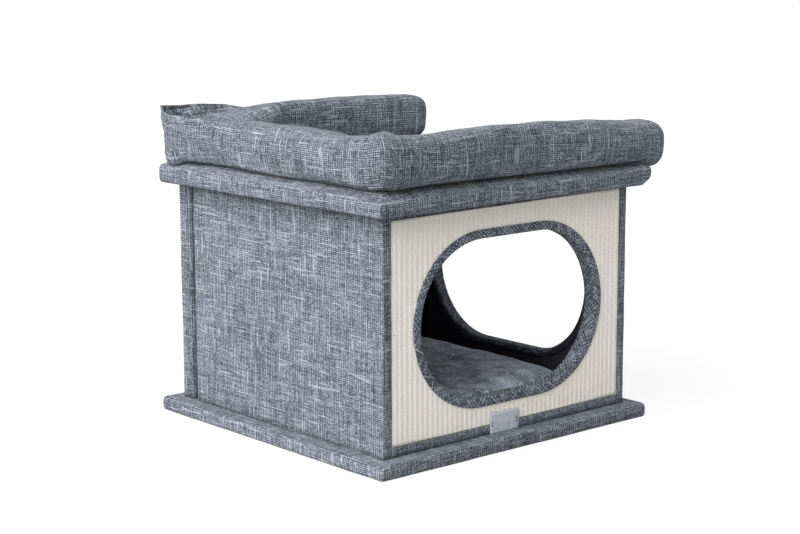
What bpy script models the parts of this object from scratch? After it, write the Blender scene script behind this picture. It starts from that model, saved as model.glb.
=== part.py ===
"""Cat cave: a linen-covered cube with two oval doors, a sisal scratching front and a bolster bed on its lid.

Frame: X runs right along the front, Y runs to the rear, Z is up.
The origin is the middle of the base's underside, where it stands on the floor.
"""

import math

import bmesh
import bpy
from mathutils import Matrix, Vector

# General fits and cloths
FIT = 0.0003  # air between two pieces that touch
CLOTH = 0.0006  # linen-look polyester
LINING = 0.0008  # black felt
CREASE = 0.0012  # corner radius of a slab's flat faces, inside its rounded edges

# Box
BOX_SIDE = 0.408
WALL_HEIGHT = 0.2875
WALL_BOARD = 0.012
REAR_BOARD = 0.019
GROOVE = 0.0116  # open groove between each side wall and the rear panel
GUSSET_DEPTH = 0.007  # how far the gusset lies in the groove
REAR_HEM = 0.018  # rear cloth turned in behind the panel

# Front face
BORDER_WIDTH = 0.0128
BORDER_THICK = 0.0030
SISAL_THICK = 0.0026
LABEL_WIDTH = 0.048
LABEL_HEIGHT = 0.0264
LABEL_THICK = 0.0008
LABEL_OFFSET = -0.011

# Doors, clear size inside the padded rim
DOOR_WIDTH = 0.294
DOOR_HEIGHT = 0.195
DOOR_SILL = 0.0484  # above the foot of the wall
DOOR_STEPS = 16  # facets in each half-round end
RIM_WIDTH = 0.0112
RIM_SKIN = 0.0012  # rim through the door's edge
RIM_BACK = 0.0020  # rim folded on to the inside
RIM_PROUD = 0.0019  # rim above the face around it
RIM_ROUND = 0.0010

# Base
BASE_OVERHANG = 0.0212
BASE_BOARD = 0.015
BASE_BOARD_CORNER = 0.006
BASE_BOARD_EDGE = 0.003
BASE_HEM = 0.030

# Lid
LID_OVERHANG = 0.0215
LID_BOARD = 0.015
LID_FOAM = 0.0120
LID_EDGE_FOAM = 0.009  # also the radius that it gives the lid's edge
LID_CORNER = 0.007
LID_BOARD_CORNER = 0.004
LID_HEM = 0.0375

# Bed on the lid
BOLSTER_WIDTH = 0.068
BOLSTER_INSET = 0.0015  # bolster's outer face in from the lid's edge
BOLSTER_FLAT = 0.0020  # how much of the section its rest on the lid takes off
BOLSTER_POWER = 2.8  # superellipse power: 2 is an ellipse, higher is squarer
FRONT_BOLSTER_HEIGHT = 0.0555
LEFT_BOLSTER_HEIGHT = 0.0565
REAR_BOLSTER_HEIGHT = 0.0650
FRONT_CORNER_HEIGHT = 0.0655
REAR_CORNER_HEIGHT = 0.0660
FRONT_CORNER_POWER = 3.0
REAR_CORNER_POWER = 6.0
CORNER_LENGTH = 0.070
MITRE_SHARES = (0.0, 0.12, 0.3, 0.55, 1.0)  # of the corner length, from the seam inwards
BOLSTER_END = 0.026  # length of a free end's rounding
BOLSTER_END_SHARE = 0.93  # of a quarter turn, so that the tip closes flat
BOLSTER_END_POWER = 0.8  # under 1 keeps a free end full
FRONT_BOLSTER_REACH = 0.030  # past the lid's right edge
REAR_BOLSTER_SHORT = 0.027  # short of the lid's right edge
MAT_THICK = 0.0052
MAT_CROWN = 0.0020
MAT_CORNER = 0.012
MAT_SHORT = 0.006  # mat short of the lid's right edge
PAD_LENGTH = 0.050
PAD_WIDTH = 0.025
PAD_THICK = 0.0012
PAD_INSET = 0.1155  # from the lid's edge to a pad's middle

# Loose cushion in the cave
CUSHION_CLEARANCE = 0.007
CUSHION_EDGE = 0.028
CUSHION_CROWN = 0.019
CUSHION_CORNER = 0.045
CUSHION_DRAW_IN = 0.006
PILLOW_SIDE_SHARES = ((0.94, 0.0), (0.985, 0.14), (1.0, 0.45), (0.985, 0.8), (0.95, 1.0))  # width, height
PILLOW_TOP_SHARES = (0.86, 0.7, 0.5, 0.3, 0.12)  # of the width, over the crown
PILLOW_CROWN_POWER = 2.4

# Screws
SCREW_LENGTH = 0.040
SCREW_RADIUS = 0.0020
SCREW_HEAD_RADIUS = 0.0040
SCREW_HEAD_RIM = 0.0004
SCREW_HEAD_DEPTH = 0.0025
SCREW_RECESS_RADIUS = 0.0018
SCREW_RECESS_DEPTH = 0.0014
SCREW_TIP = 0.005
SCREW_POINT_RADIUS = 0.0005
SCREW_INSET = 0.050  # from the wall's upright edge
SCREW_SIDES = 10

# Levels worked out from the sizes above
BASE_BOARD_BOTTOM = CLOTH + FIT
BASE_TOP = BASE_BOARD_BOTTOM + BASE_BOARD + FIT + CLOTH
WALL_BOTTOM = BASE_TOP + FIT
WALL_TOP = WALL_BOTTOM + WALL_HEIGHT
LID_BOTTOM = WALL_TOP + FIT
LID_BOARD_BOTTOM = LID_BOTTOM + CLOTH + FIT
LID_BOARD_TOP = LID_BOARD_BOTTOM + LID_BOARD
LID_TOP = LID_BOARD_TOP + FIT + LID_FOAM + FIT + CLOTH
BED_BOTTOM = LID_TOP + FIT
MAT_BOTTOM = LID_TOP + 3 * FIT + 2 * PAD_THICK

# Half sizes worked out from the sizes above
BOX_HALF = BOX_SIDE / 2
BASE_HALF = BOX_HALF + BASE_OVERHANG
LID_HALF = BOX_HALF + LID_OVERHANG
BASE_CORNER = BASE_BOARD_CORNER + FIT + CLOTH
BASE_EDGE = BASE_BOARD_EDGE + FIT + CLOTH
BOLSTER_HALF = BOLSTER_WIDTH / 2
BOLSTER_AXIS = LID_HALF - BOLSTER_INSET - BOLSTER_HALF
DOOR_HALF_HEIGHT = DOOR_HEIGHT / 2
DOOR_STRAIGHT = (DOOR_WIDTH - DOOR_HEIGHT) / 2  # half the straight run between the round ends
DOOR_MIDDLE = DOOR_SILL + DOOR_HALF_HEIGHT  # above the foot of the wall
OVERCUT = 0.002  # how far a cutter runs past the face it opens


class Wall:
    """A wall's layers, as distances out from the middle of the box."""

    def __init__(self, name, turn, skin, board):
        self.name = name
        self.face = BOX_HALF
        self.board_out = BOX_HALF - skin - FIT
        self.board_in = self.board_out - board
        self.lining_out = self.board_in - FIT
        self.lining_in = self.lining_out - LINING
        self.middle = (self.board_out + self.board_in) / 2
        self.frame = bpy.data.objects.new(name + "_wall", None)
        self.frame.rotation_euler = (0, 0, turn)
        self.frame.location = (0, 0, WALL_BOTTOM)
        self.edges = (-BOX_HALF, BOX_HALF)
        bpy.context.collection.objects.link(self.frame)


def finish(name, colour, roughness, metallic=0.0):
    """Principled material from an sRGB hex colour."""
    channels = [int(colour[i:i + 2], 16) / 255 for i in (0, 2, 4)]
    linear = [c / 12.92 if c <= 0.04045 else ((c + 0.055) / 1.055) ** 2.4 for c in channels]
    material = bpy.data.materials.new(name)
    material.use_nodes = True
    shader = material.node_tree.nodes["Principled BSDF"]
    shader.inputs["Base Color"].default_value = (*linear, 1)
    shader.inputs["Roughness"].default_value = roughness
    shader.inputs["Metallic"].default_value = metallic
    return material


def solid(name, bm, material, frame=None, location=(0, 0, 0), turn=(0, 0, 0)):
    """One named object from a bmesh, with its own material."""
    bmesh.ops.recalc_face_normals(bm, faces=bm.faces)
    mesh = bpy.data.meshes.new(name)
    bm.to_mesh(mesh)
    bm.free()
    body = bpy.data.objects.new(name, mesh)
    body.location = location
    body.rotation_euler = turn
    body.parent = frame
    bpy.context.collection.objects.link(body)
    if material is not None:
        body.data.materials.append(finish(name, *material))
    return body


def cutter(name, bm, frame=None, location=(0, 0, 0)):
    """A hidden guide that Boolean modifiers take away."""
    body = solid(name, bm, None, frame, location)
    body.hide_render = True
    body.display_type = "WIRE"
    return body


def cut(body, tool):
    """Takes a cutter's shape out of a body."""
    boolean = body.modifiers.new(tool.name, "BOOLEAN")
    boolean.operation = "DIFFERENCE"
    boolean.solver = "EXACT"
    boolean.object = tool


def smooth(body, degrees=40):
    """Smooth shading that keeps the corners above an angle sharp."""
    body.data.shade_smooth()
    body.data.set_sharp_from_angle(angle=math.radians(degrees))


def prism(loops, depth, along):
    """A flat outline, with any holes in it, pulled along a vector by a depth."""
    bm = bmesh.new()
    for loop in loops:
        verts = [bm.verts.new(point) for point in loop]
        for i, vert in enumerate(verts):
            bm.edges.new((vert, verts[(i + 1) % len(verts)]))
    bmesh.ops.triangle_fill(bm, use_beauty=True, edges=bm.edges[:])
    pulled = bmesh.ops.extrude_face_region(bm, geom=bm.faces[:])
    moved = [part for part in pulled["geom"] if isinstance(part, bmesh.types.BMVert)]
    bmesh.ops.translate(bm, verts=moved, vec=Vector(along) * depth)
    return bm


def block(x0, x1, y0, y1, z0, z1):
    """A plain box between two corners."""
    return prism([[(x0, y0, z0), (x1, y0, z0), (x1, y1, z0), (x0, y1, z0)]], z1 - z0, (0, 0, 1))


def loft(rings, capped=True):
    """Skins rings of equal count, in order, and caps the two ends or joins the last to the first."""
    bm = bmesh.new()
    rows = [[bm.verts.new(point) for point in ring] for ring in rings]
    if not capped:
        rows.append(rows[0])
    for low, high in zip(rows, rows[1:]):
        for i in range(len(low)):
            j = (i + 1) % len(low)
            bm.faces.new((low[i], low[j], high[j], high[i]))
    if capped:
        bm.faces.new(rows[0])
        bm.faces.new(rows[-1])
    return bm


def turned(profile, sides):
    """A profile of (radius, height) pairs turned about Z, with its first and last points on the axis."""
    rings = []
    for radius, height in profile[1:-1]:
        angles = [2 * math.pi * k / sides for k in range(sides)]
        rings.append([(radius * math.cos(a), radius * math.sin(a), height) for a in angles])
    bm = loft(rings)
    bm.faces.ensure_lookup_table()
    for face, (_, height) in ((bm.faces[-2], profile[0]), (bm.faces[-1], profile[-1])):
        tip = bmesh.ops.poke(bm, faces=[face])["verts"][0]
        tip.co.z = height
        bm.faces.ensure_lookup_table()
    return bm


def rounded_rectangle(half_x, half_y, corner, z=0.0, corner_steps=4, side_steps=1):
    """Points round a rectangle with quarter-round corners, the sides split into equal steps."""
    points = []
    for quarter, (sx, sy) in enumerate(((1, 1), (-1, 1), (-1, -1), (1, -1))):
        middle = Vector((sx * (half_x - corner), sy * (half_y - corner), z))
        for k in range(corner_steps + 1):
            angle = (quarter + k / corner_steps) * math.pi / 2
            points.append(middle + Vector((math.cos(angle), math.sin(angle), 0)) * corner)
    whole = []
    for i, point in enumerate(points):
        whole.append(point)
        if i % (corner_steps + 1) == corner_steps:
            following = points[(i + 1) % len(points)]
            whole += [point.lerp(following, k / side_steps) for k in range(1, side_steps)]
    return whole


def slab_rings(half, corner, bottom, top, edge, steps=3):
    """Rings of a square slab whose corners and edges are rounded, from its underside up."""
    rings = []
    for level, side in ((bottom + edge, -1), (top - edge, 1)):
        for k in range(steps + 1):
            angle = (k / steps if side > 0 else 1 - k / steps) * math.pi / 2
            share = 1 - math.cos(angle)
            rounding = corner + (min(corner, CREASE) - corner) * share
            z = level + side * edge * math.sin(angle)
            rings.append(rounded_rectangle(half - edge * share, half - edge * share, rounding, z))
    return rings


def cloth_shell(half, corner, bottom, top, edge, hem):
    """Cloth drawn over a slab and turned under it, open inside the hem."""
    outside = slab_rings(half, corner, bottom, top, edge)
    inside = slab_rings(half - CLOTH, corner - CLOTH, bottom + CLOTH, top - CLOTH, edge - CLOTH)
    mouth = half - hem
    lip_low = rounded_rectangle(mouth, mouth, CREASE, bottom)
    lip_high = rounded_rectangle(mouth, mouth, CREASE, bottom + CLOTH)
    return loft(list(reversed(inside)) + [lip_high, lip_low] + outside)


def door_loop(grow, y=0.0):
    """The door's outline, grown by a distance, in a wall's own X and Z."""
    points = []
    for side in (1, -1):
        for k in range(DOOR_STEPS + 1):
            angle = side * math.pi / 2 - math.pi * k / DOOR_STEPS
            radius = DOOR_HALF_HEIGHT + grow
            x = side * DOOR_STRAIGHT + radius * math.cos(angle)
            points.append(Vector((x, y, DOOR_MIDDLE + radius * math.sin(angle))))
    return points


def outline(x0, x1, z0, z1):
    """A rectangle in a wall's own X and Z."""
    return [Vector((x0, 0, z0)), Vector((x1, 0, z0)), Vector((x1, 0, z1)), Vector((x0, 0, z1))]


def wall_sheet(name, wall, material, edges, faces, foot=0.0, door=None):
    """A board, lining or face of a wall, from its outer face to its inner face, with any door through it."""
    loops = [outline(*edges, foot, WALL_HEIGHT)]
    if door is not None:
        loops.append(door_loop(door))
    bm = prism(loops, faces[0] - faces[1], (0, 1, 0))
    return solid(name, bm, material, wall.frame, (0, -faces[0], 0))


def wrapped_cloth(name, wall, edges, skin, wrap, hem=0.0):
    """Cloth on a wall's outer face, folded round its two upright edges and turned in by the hem."""
    x0, x1 = edges
    back = -(wall.board_in - FIT - CLOTH) if hem else -wall.board_in
    plan = [(x0, back), (x0, -wall.face), (x1, -wall.face), (x1, back)]
    inner = [(x1 - wrap, -wall.face + skin), (x0 + wrap, -wall.face + skin)]
    if hem:
        turn_in = -wall.board_in + FIT
        plan += [(x1 - hem, back), (x1 - hem, turn_in), (x1 - wrap, turn_in)] + inner
        plan += [(x0 + wrap, turn_in), (x0 + hem, turn_in), (x0 + hem, back)]
    else:
        plan += [(x1 - wrap, back)] + inner + [(x0 + wrap, back)]
    bm = prism([[(x, y, 0) for x, y in plan]], WALL_HEIGHT, (0, 0, 1))
    return solid(name, bm, LINEN, wall.frame)


def door_rim(name, wall, skin_face):
    """Padded cloth folded round a door's edge, from the outer face through to the inside."""
    out_face = skin_face + RIM_PROUD
    in_face = wall.board_in - FIT - RIM_BACK
    profile = [
        (0, in_face),
        (0, out_face - RIM_ROUND),
        (RIM_ROUND, out_face),
        (RIM_WIDTH - RIM_ROUND, out_face),
        (RIM_WIDTH, out_face - RIM_ROUND),
        (RIM_WIDTH, wall.board_out + FIT),
        (RIM_SKIN, wall.board_out + FIT),
        (RIM_SKIN, wall.board_in - FIT),
        (RIM_WIDTH, wall.board_in - FIT),
        (RIM_WIDTH, in_face),
    ]
    loops = [door_loop(grow, -depth) for grow, depth in profile]
    rim = solid(name, loft(loops, capped=False), BINDING, wall.frame)
    smooth(rim)
    return rim


def screw_profile(grow):
    """A countersunk screw's profile from its head, grown by a distance to give the hole that it needs."""
    return [
        (0, -grow / 2 if grow else SCREW_RECESS_DEPTH),
        (SCREW_RECESS_RADIUS, -grow / 2),
        (SCREW_HEAD_RADIUS + grow, -grow / 2),
        (SCREW_HEAD_RADIUS + grow, SCREW_HEAD_RIM),
        (SCREW_RADIUS + grow, SCREW_HEAD_DEPTH),
        (SCREW_RADIUS + grow, SCREW_LENGTH - SCREW_TIP + grow),
        (SCREW_POINT_RADIUS + grow, SCREW_LENGTH + grow),
        (0, SCREW_LENGTH + grow),
    ]


def screw_places(wall, level):
    """Where a wall's two screws at a level have their heads, as world matrices pointing into the wall."""
    flip = math.pi if level > WALL_BOTTOM else 0.0
    for x in (wall.edges[0] + SCREW_INSET, wall.edges[1] - SCREW_INSET):
        turn = Matrix.Rotation(wall.frame.rotation_euler.z, 4, "Z")
        yield turn @ Matrix.Translation((x, -wall.middle, level)) @ Matrix.Rotation(flip, 4, "X")


def screw_row(prefix, walls, level):
    """The screws at one level, a pair to each wall, and the one cutter that makes all their holes."""
    holes = bmesh.new()
    for wall in walls:
        for number, place in enumerate(screw_places(wall, level), 1):
            screw = solid(f"{prefix}_{wall.name}_{number}", turned(screw_profile(0), SCREW_SIDES), STEEL)
            screw.matrix_world = place
            smooth(screw)
            hole = turned(screw_profile(FIT), SCREW_SIDES)
            hole.transform(place)
            mesh = bpy.data.meshes.new("hole")
            hole.to_mesh(mesh)
            hole.free()
            holes.from_mesh(mesh)
            bpy.data.meshes.remove(mesh)
    return cutter(prefix + "_holes", holes)


def bolster_section(height, outer_power, steps=20):
    """Points (out, up) round a stuffed tube's section, flat where it rests and squarer on its outer side."""
    tall = (height + BOLSTER_FLAT) / 2
    points = []
    for k in range(steps):
        angle = 2 * math.pi * (k + 0.5) / steps
        across, up = math.cos(angle), math.sin(angle)
        power = outer_power if across > 0 else BOLSTER_POWER
        out = BOLSTER_HALF * math.copysign(abs(across) ** (2 / power), across)
        level = height - tall + tall * math.copysign(abs(up) ** (2 / power), up)
        points.append((out, max(level, 0.0)))
    return points


def bolster_half_at(level, height):
    """How far a bolster's section reaches inwards from its axis at a level above the lid."""
    tall = (height + BOLSTER_FLAT) / 2
    share = abs(level - (height - tall)) / tall
    return BOLSTER_HALF * (1 - share ** BOLSTER_POWER) ** (1 / BOLSTER_POWER)


def mitred_end(corner_height, corner_power, height):
    """An arm's mitred end, from the seam inwards, as stations (distance in, slant, height, power, scale)."""
    for share in MITRE_SHARES:
        fade = (1 - share) ** 2
        tall = height + (corner_height - height) * fade
        power = BOLSTER_POWER + (corner_power - BOLSTER_POWER) * fade
        yield share * CORNER_LENGTH + FIT / math.sqrt(2), 1 - share, tall, power, 1.0


def round_end(height, steps=5):
    """An arm's free end, from the tip inwards, as stations like those of the mitred end."""
    for k in range(steps + 1):
        angle = math.pi / 2 * BOLSTER_END_SHARE * (1 - k / steps)
        scale = math.cos(angle) ** BOLSTER_END_POWER
        yield BOLSTER_END * (1 - math.sin(angle)), 0.0, height, BOLSTER_POWER, scale


def bolster(name, location, turn, length, height, left, right):
    """A stuffed arm of the bed, running along X from its left end to its right as seen from outside."""
    stations = [(near, -slant, tall, power, scale) for near, slant, tall, power, scale in left]
    first, last = stations[-1], list(right)
    last = [(length - near, slant, tall, power, scale) for near, slant, tall, power, scale in last][::-1]
    for k in range(1, 4):
        x = first[0] + (last[0][0] - first[0]) * k / 4
        stations.append((x, 0.0, height, BOLSTER_POWER, 1.0))
    rings = []
    for x, slant, tall, power, scale in stations + last:
        ring = []
        for out, up in bolster_section(tall, power):
            ring.append((x + slant * out * scale, -out * scale, tall / 2 + (up - tall / 2) * scale))
        rings.append(ring)
    arm = solid(name, loft(rings), LINEN, None, location, (0, 0, turn))
    smooth(arm)
    return arm


def pillow(name, material, middle, half_x, half_y, corner, edge, crown, draw_in):
    """A stuffed square with a flat underside, a crowned top and sides drawn in between its corners."""
    layers = [(scale, edge * share) for scale, share in PILLOW_SIDE_SHARES]
    layers += [(scale, edge + crown * (1 - scale ** PILLOW_CROWN_POWER)) for scale in PILLOW_TOP_SHARES]
    rings = []
    for scale, z in layers:
        ring = []
        for point in rounded_rectangle(half_x, half_y, corner, z, side_steps=6):
            across, along = point.x / half_x, point.y / half_y
            pulled_x = point.x * (1 - draw_in / half_x * (1 - along ** 2))
            pulled_y = point.y * (1 - draw_in / half_y * (1 - across ** 2))
            ring.append((pulled_x * scale, pulled_y * scale, z))
        rings.append(ring)
    body = solid(name, loft(rings), material, None, middle)
    smooth(body)
    return body


# Finishes: sRGB colour, roughness, metallic
LINEN = ("5E6472", 0.9)
BINDING = ("565C6A", 0.9)
SISAL = ("D9D2C2", 0.85)
FELT = ("0D0D12", 0.95)
PARTICLE_BOARD = ("B08D62", 0.7)
FOAM = ("E6E2D2", 0.9)
PALE_PLUSH = ("A9ADB4", 1.0)
SLATE_PLUSH = ("4A505C", 1.0)
PATCH = ("7F8794", 0.8)
UNDERCLOTH = ("17181C", 0.95)
HOOK_TAPE = ("24262C", 0.8)
STEEL = ("B8BABD", 0.35, 1.0)


def build_base():
    """Cloth-wrapped board that everything stands on, with a plain cloth under it."""
    board_half = BASE_HALF - CLOTH - FIT
    cover = solid(
        "base_cover", cloth_shell(BASE_HALF, BASE_CORNER, 0, BASE_TOP, BASE_EDGE, BASE_HEM), LINEN
    )
    board_rings = slab_rings(
        board_half, BASE_BOARD_CORNER, BASE_BOARD_BOTTOM, BASE_BOARD_BOTTOM + BASE_BOARD, BASE_BOARD_EDGE
    )
    board = solid("base_board", loft(board_rings), PARTICLE_BOARD)
    under_half = BASE_HALF - BASE_HEM - FIT
    outline_under = rounded_rectangle(under_half, under_half, CREASE)
    solid("base_undercloth", prism([outline_under], CLOTH, (0, 0, 1)), UNDERCLOTH)
    smooth(cover)
    smooth(board)
    return cover, board


def build_lid():
    """Padded, cloth-wrapped top board and the felt of the cave's ceiling."""
    edge = LID_EDGE_FOAM
    cover = solid("lid_cover", cloth_shell(LID_HALF, LID_CORNER, LID_BOTTOM, LID_TOP, edge, LID_HEM), LINEN)
    skin = CLOTH + FIT
    foam_half = LID_HALF - skin
    foam_rings = slab_rings(foam_half, LID_CORNER - skin, LID_BOTTOM + skin, LID_TOP - skin, edge - skin)
    hollow_half = foam_half - LID_EDGE_FOAM
    hollow_corner = LID_BOARD_CORNER + FIT
    hollow = [
        rounded_rectangle(hollow_half, hollow_half, hollow_corner, z)
        for z in (LID_BOARD_TOP + FIT, LID_BOARD_BOTTOM)
    ]
    foam = solid("lid_foam", loft(hollow + foam_rings), FOAM)
    board_half = hollow_half - FIT
    board_outline = rounded_rectangle(board_half, board_half, LID_BOARD_CORNER)
    board = solid(
        "lid_board", prism([board_outline], LID_BOARD, (0, 0, 1)), PARTICLE_BOARD,
        None, (0, 0, LID_BOARD_BOTTOM),
    )
    ceiling_half = LID_HALF - LID_HEM - FIT
    ceiling_outline = rounded_rectangle(ceiling_half, ceiling_half, CREASE)
    solid("ceiling_lining", prism([ceiling_outline], CLOTH, (0, 0, 1)), FELT, None, (0, 0, LID_BOTTOM))
    smooth(cover)
    smooth(foam)
    return cover, board


def build_front(wall, side):
    """Sisal scratching panel in a cloth border, with a door and a bare stitched patch."""
    board_edge = BOX_HALF - CLOTH - FIT
    door_cut = RIM_WIDTH + FIT
    board = wall_sheet(
        "front_board", wall, PARTICLE_BOARD, (-board_edge, board_edge),
        (wall.board_out, wall.board_in), door=RIM_SKIN + FIT,
    )
    border = wrapped_cloth("front_border", wall, (-BOX_HALF, BOX_HALF), BORDER_THICK, CLOTH)
    window = BOX_HALF - BORDER_WIDTH
    window_block = block(
        -window, window, -BOX_HALF - OVERCUT, -wall.board_out + FIT + OVERCUT,
        BORDER_WIDTH, WALL_HEIGHT + OVERCUT,
    )
    cut(border, cutter("sisal_window", window_block, wall.frame))
    sisal_edge = window - FIT
    sisal_face = wall.board_out + FIT + SISAL_THICK
    wall_sheet(
        "sisal_panel", wall, SISAL, (-sisal_edge, sisal_edge),
        (sisal_face, wall.board_out + FIT), foot=BORDER_WIDTH + FIT, door=door_cut,
    )
    lining_edge = side.lining_in - FIT
    wall_sheet(
        "front_lining", wall, FELT, (-lining_edge, lining_edge),
        (wall.lining_out, wall.lining_in), door=door_cut,
    )
    door_rim("front_rim", wall, sisal_face)
    patch = outline(LABEL_OFFSET - LABEL_WIDTH / 2, LABEL_OFFSET + LABEL_WIDTH / 2, FIT, LABEL_HEIGHT)
    solid("patch", prism([patch], LABEL_THICK, (0, -1, 0)), PATCH, wall.frame, (0, -BOX_HALF - FIT, 0))
    return board


def build_side(wall, front, rear, hand):
    """A side wall, from behind the front board to the groove; the right one has a door like the front's."""
    front_edge = front.board_in - FIT
    rear_edge = rear.board_in - FIT - CLOTH - GROOVE
    has_door = hand > 0
    wall.edges = (-front_edge, rear_edge) if has_door else (-rear_edge, front_edge)
    x0, x1 = wall.edges
    inset = CLOTH + FIT
    door_cut = RIM_WIDTH + FIT
    board = wall_sheet(
        wall.name + "_board", wall, PARTICLE_BOARD, (x0 + inset, x1 - inset),
        (wall.board_out, wall.board_in), door=RIM_SKIN + FIT if has_door else None,
    )
    cover = wrapped_cloth(wall.name + "_cover", wall, (x0, x1), CLOTH, CLOTH)
    lining_front = front.lining_in - FIT
    lining_edges = (-lining_front, x1) if has_door else (x0, lining_front)
    wall_sheet(
        wall.name + "_lining", wall, FELT, lining_edges,
        (wall.lining_out, wall.lining_in), door=door_cut if has_door else None,
    )
    if has_door:
        hole = prism([door_loop(door_cut, -BOX_HALF - OVERCUT)], CLOTH + 2 * OVERCUT, (0, 1, 0))
        cut(cover, cutter("right_door_hole", hole, wall.frame))
        door_rim("right_rim", wall, BOX_HALF)
    rear_edge, rear_hem = (x1, x1 + GROOVE) if has_door else (x0, x0 - GROOVE)
    low, high = sorted((rear_edge, rear_hem))
    gusset = [(low + FIT, 0, 0), (high - FIT, 0, 0), (high - FIT, 2 * CLOTH, 0), (low + FIT, 2 * CLOTH, 0)]
    solid(
        wall.name + "_gusset", prism([gusset], WALL_HEIGHT, (0, 0, 1)), LINEN,
        wall.frame, (0, -BOX_HALF + GUSSET_DEPTH, 0),
    )
    return board


def build_rear(wall):
    """Closed rear panel, its cloth turned in all the way round its upright edges."""
    board_edge = BOX_HALF - CLOTH - FIT
    board = wall_sheet(
        "rear_board", wall, PARTICLE_BOARD, (-board_edge, board_edge), (wall.board_out, wall.board_in)
    )
    wrapped_cloth("rear_cover", wall, (-BOX_HALF, BOX_HALF), CLOTH, CLOTH, REAR_HEM)
    lining_edge = BOX_HALF - REAR_HEM - FIT
    wall_sheet("rear_lining", wall, FELT, (-lining_edge, lining_edge), (wall.lining_out, wall.lining_in))
    return board


def build_bed():
    """Pale plush mat between three stuffed bolsters, held to the lid by hook-and-loop pads."""
    corner = -BOLSTER_AXIS
    front_length = LID_HALF + FRONT_BOLSTER_REACH + BOLSTER_AXIS
    rear_length = LID_HALF - REAR_BOLSTER_SHORT + BOLSTER_AXIS
    bolster(
        "bolster_front", (corner, -BOLSTER_AXIS, BED_BOTTOM), 0, front_length, FRONT_BOLSTER_HEIGHT,
        mitred_end(FRONT_CORNER_HEIGHT, FRONT_CORNER_POWER, FRONT_BOLSTER_HEIGHT),
        round_end(FRONT_BOLSTER_HEIGHT),
    )
    bolster(
        "bolster_left", (corner, BOLSTER_AXIS, BED_BOTTOM), -math.pi / 2,
        2 * BOLSTER_AXIS, LEFT_BOLSTER_HEIGHT,
        mitred_end(REAR_CORNER_HEIGHT, REAR_CORNER_POWER, LEFT_BOLSTER_HEIGHT),
        mitred_end(FRONT_CORNER_HEIGHT, FRONT_CORNER_POWER, LEFT_BOLSTER_HEIGHT),
    )
    bolster(
        "bolster_rear", (corner + rear_length, BOLSTER_AXIS, BED_BOTTOM), math.pi, rear_length,
        REAR_BOLSTER_HEIGHT, round_end(REAR_BOLSTER_HEIGHT),
        mitred_end(REAR_CORNER_HEIGHT, REAR_CORNER_POWER, REAR_BOLSTER_HEIGHT),
    )
    mat_level = MAT_BOTTOM + MAT_THICK - BED_BOTTOM
    reach = [
        BOLSTER_AXIS - FIT - bolster_half_at(mat_level, height)
        for height in (FRONT_BOLSTER_HEIGHT, LEFT_BOLSTER_HEIGHT, REAR_BOLSTER_HEIGHT)
    ]
    front_edge, left_edge, rear_edge = -reach[0], -reach[1], reach[2]
    right_edge = LID_HALF - MAT_SHORT
    pillow(
        "bed_mat", PALE_PLUSH,
        ((left_edge + right_edge) / 2, (front_edge + rear_edge) / 2, MAT_BOTTOM),
        (right_edge - left_edge) / 2, (rear_edge - front_edge) / 2,
        MAT_CORNER, MAT_THICK, MAT_CROWN, 0.0,
    )
    number = 0
    for y in (-1, 1):
        for x in (-1, 1):
            number += 1
            middle = (x * (LID_HALF - PAD_INSET), y * (LID_HALF - PAD_INSET))
            for kind, z in (("hook", LID_TOP + FIT), ("loop", LID_TOP + 2 * FIT + PAD_THICK)):
                pad = block(-PAD_LENGTH / 2, PAD_LENGTH / 2, -PAD_WIDTH / 2, PAD_WIDTH / 2, 0, PAD_THICK)
                solid(f"{kind}_pad_{number}", pad, HOOK_TAPE, None, (*middle, z))


def build_cushion(front, side, rear):
    """Loose plush cushion that fills the cave's floor, pushed up to the closed left wall."""
    room_front = -(front.board_in - FIT - RIM_BACK)
    room_back = rear.lining_in
    half = (room_back - room_front) / 2 - CUSHION_CLEARANCE
    left = -side.lining_in + CUSHION_CLEARANCE
    floor = WALL_BOTTOM + LINING + FIT
    pillow(
        "cushion", SLATE_PLUSH, (left + half, (room_front + room_back) / 2, floor),
        half, half, CUSHION_CORNER, CUSHION_EDGE, CUSHION_CROWN, CUSHION_DRAW_IN,
    )
    floor_x = side.lining_in - FIT
    floor_block = block(-floor_x, floor_x, -(front.lining_in - FIT), rear.lining_in - FIT, 0, LINING)
    solid("floor_lining", floor_block, FELT, None, (0, 0, WALL_BOTTOM))


def main():
    for leftover in list(bpy.data.objects):
        bpy.data.objects.remove(leftover)
    front = Wall("front", 0, BORDER_THICK, WALL_BOARD)
    right = Wall("right", math.pi / 2, CLOTH, WALL_BOARD)
    rear = Wall("rear", math.pi, CLOTH, REAR_BOARD)
    left = Wall("left", -math.pi / 2, CLOTH, WALL_BOARD)
    walls = (front, right, rear, left)
    base_cover, base_board = build_base()
    lid_cover, lid_board = build_lid()
    wall_boards = [
        build_front(front, right),
        build_side(right, front, rear, 1),
        build_rear(rear),
        build_side(left, front, rear, -1),
    ]
    build_bed()
    build_cushion(front, right, rear)
    base_holes = screw_row("base_screw", walls, BASE_BOARD_BOTTOM)
    lid_holes = screw_row("lid_screw", walls, LID_BOARD_TOP)
    for body in (base_cover, base_board, *wall_boards):
        cut(body, base_holes)
    for body in (lid_cover, lid_board, *wall_boards):
        cut(body, lid_holes)


main()
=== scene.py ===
"""Looks of a cat cave: linen cloth over boards, a sisal front, plush inside and a stuffed bed on the lid.

Everything is in metres, with X right along the sisal front, Y to the rear and Z up.
"""

import math

import bmesh
import bpy
from mathutils import Matrix, Vector, noise


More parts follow.
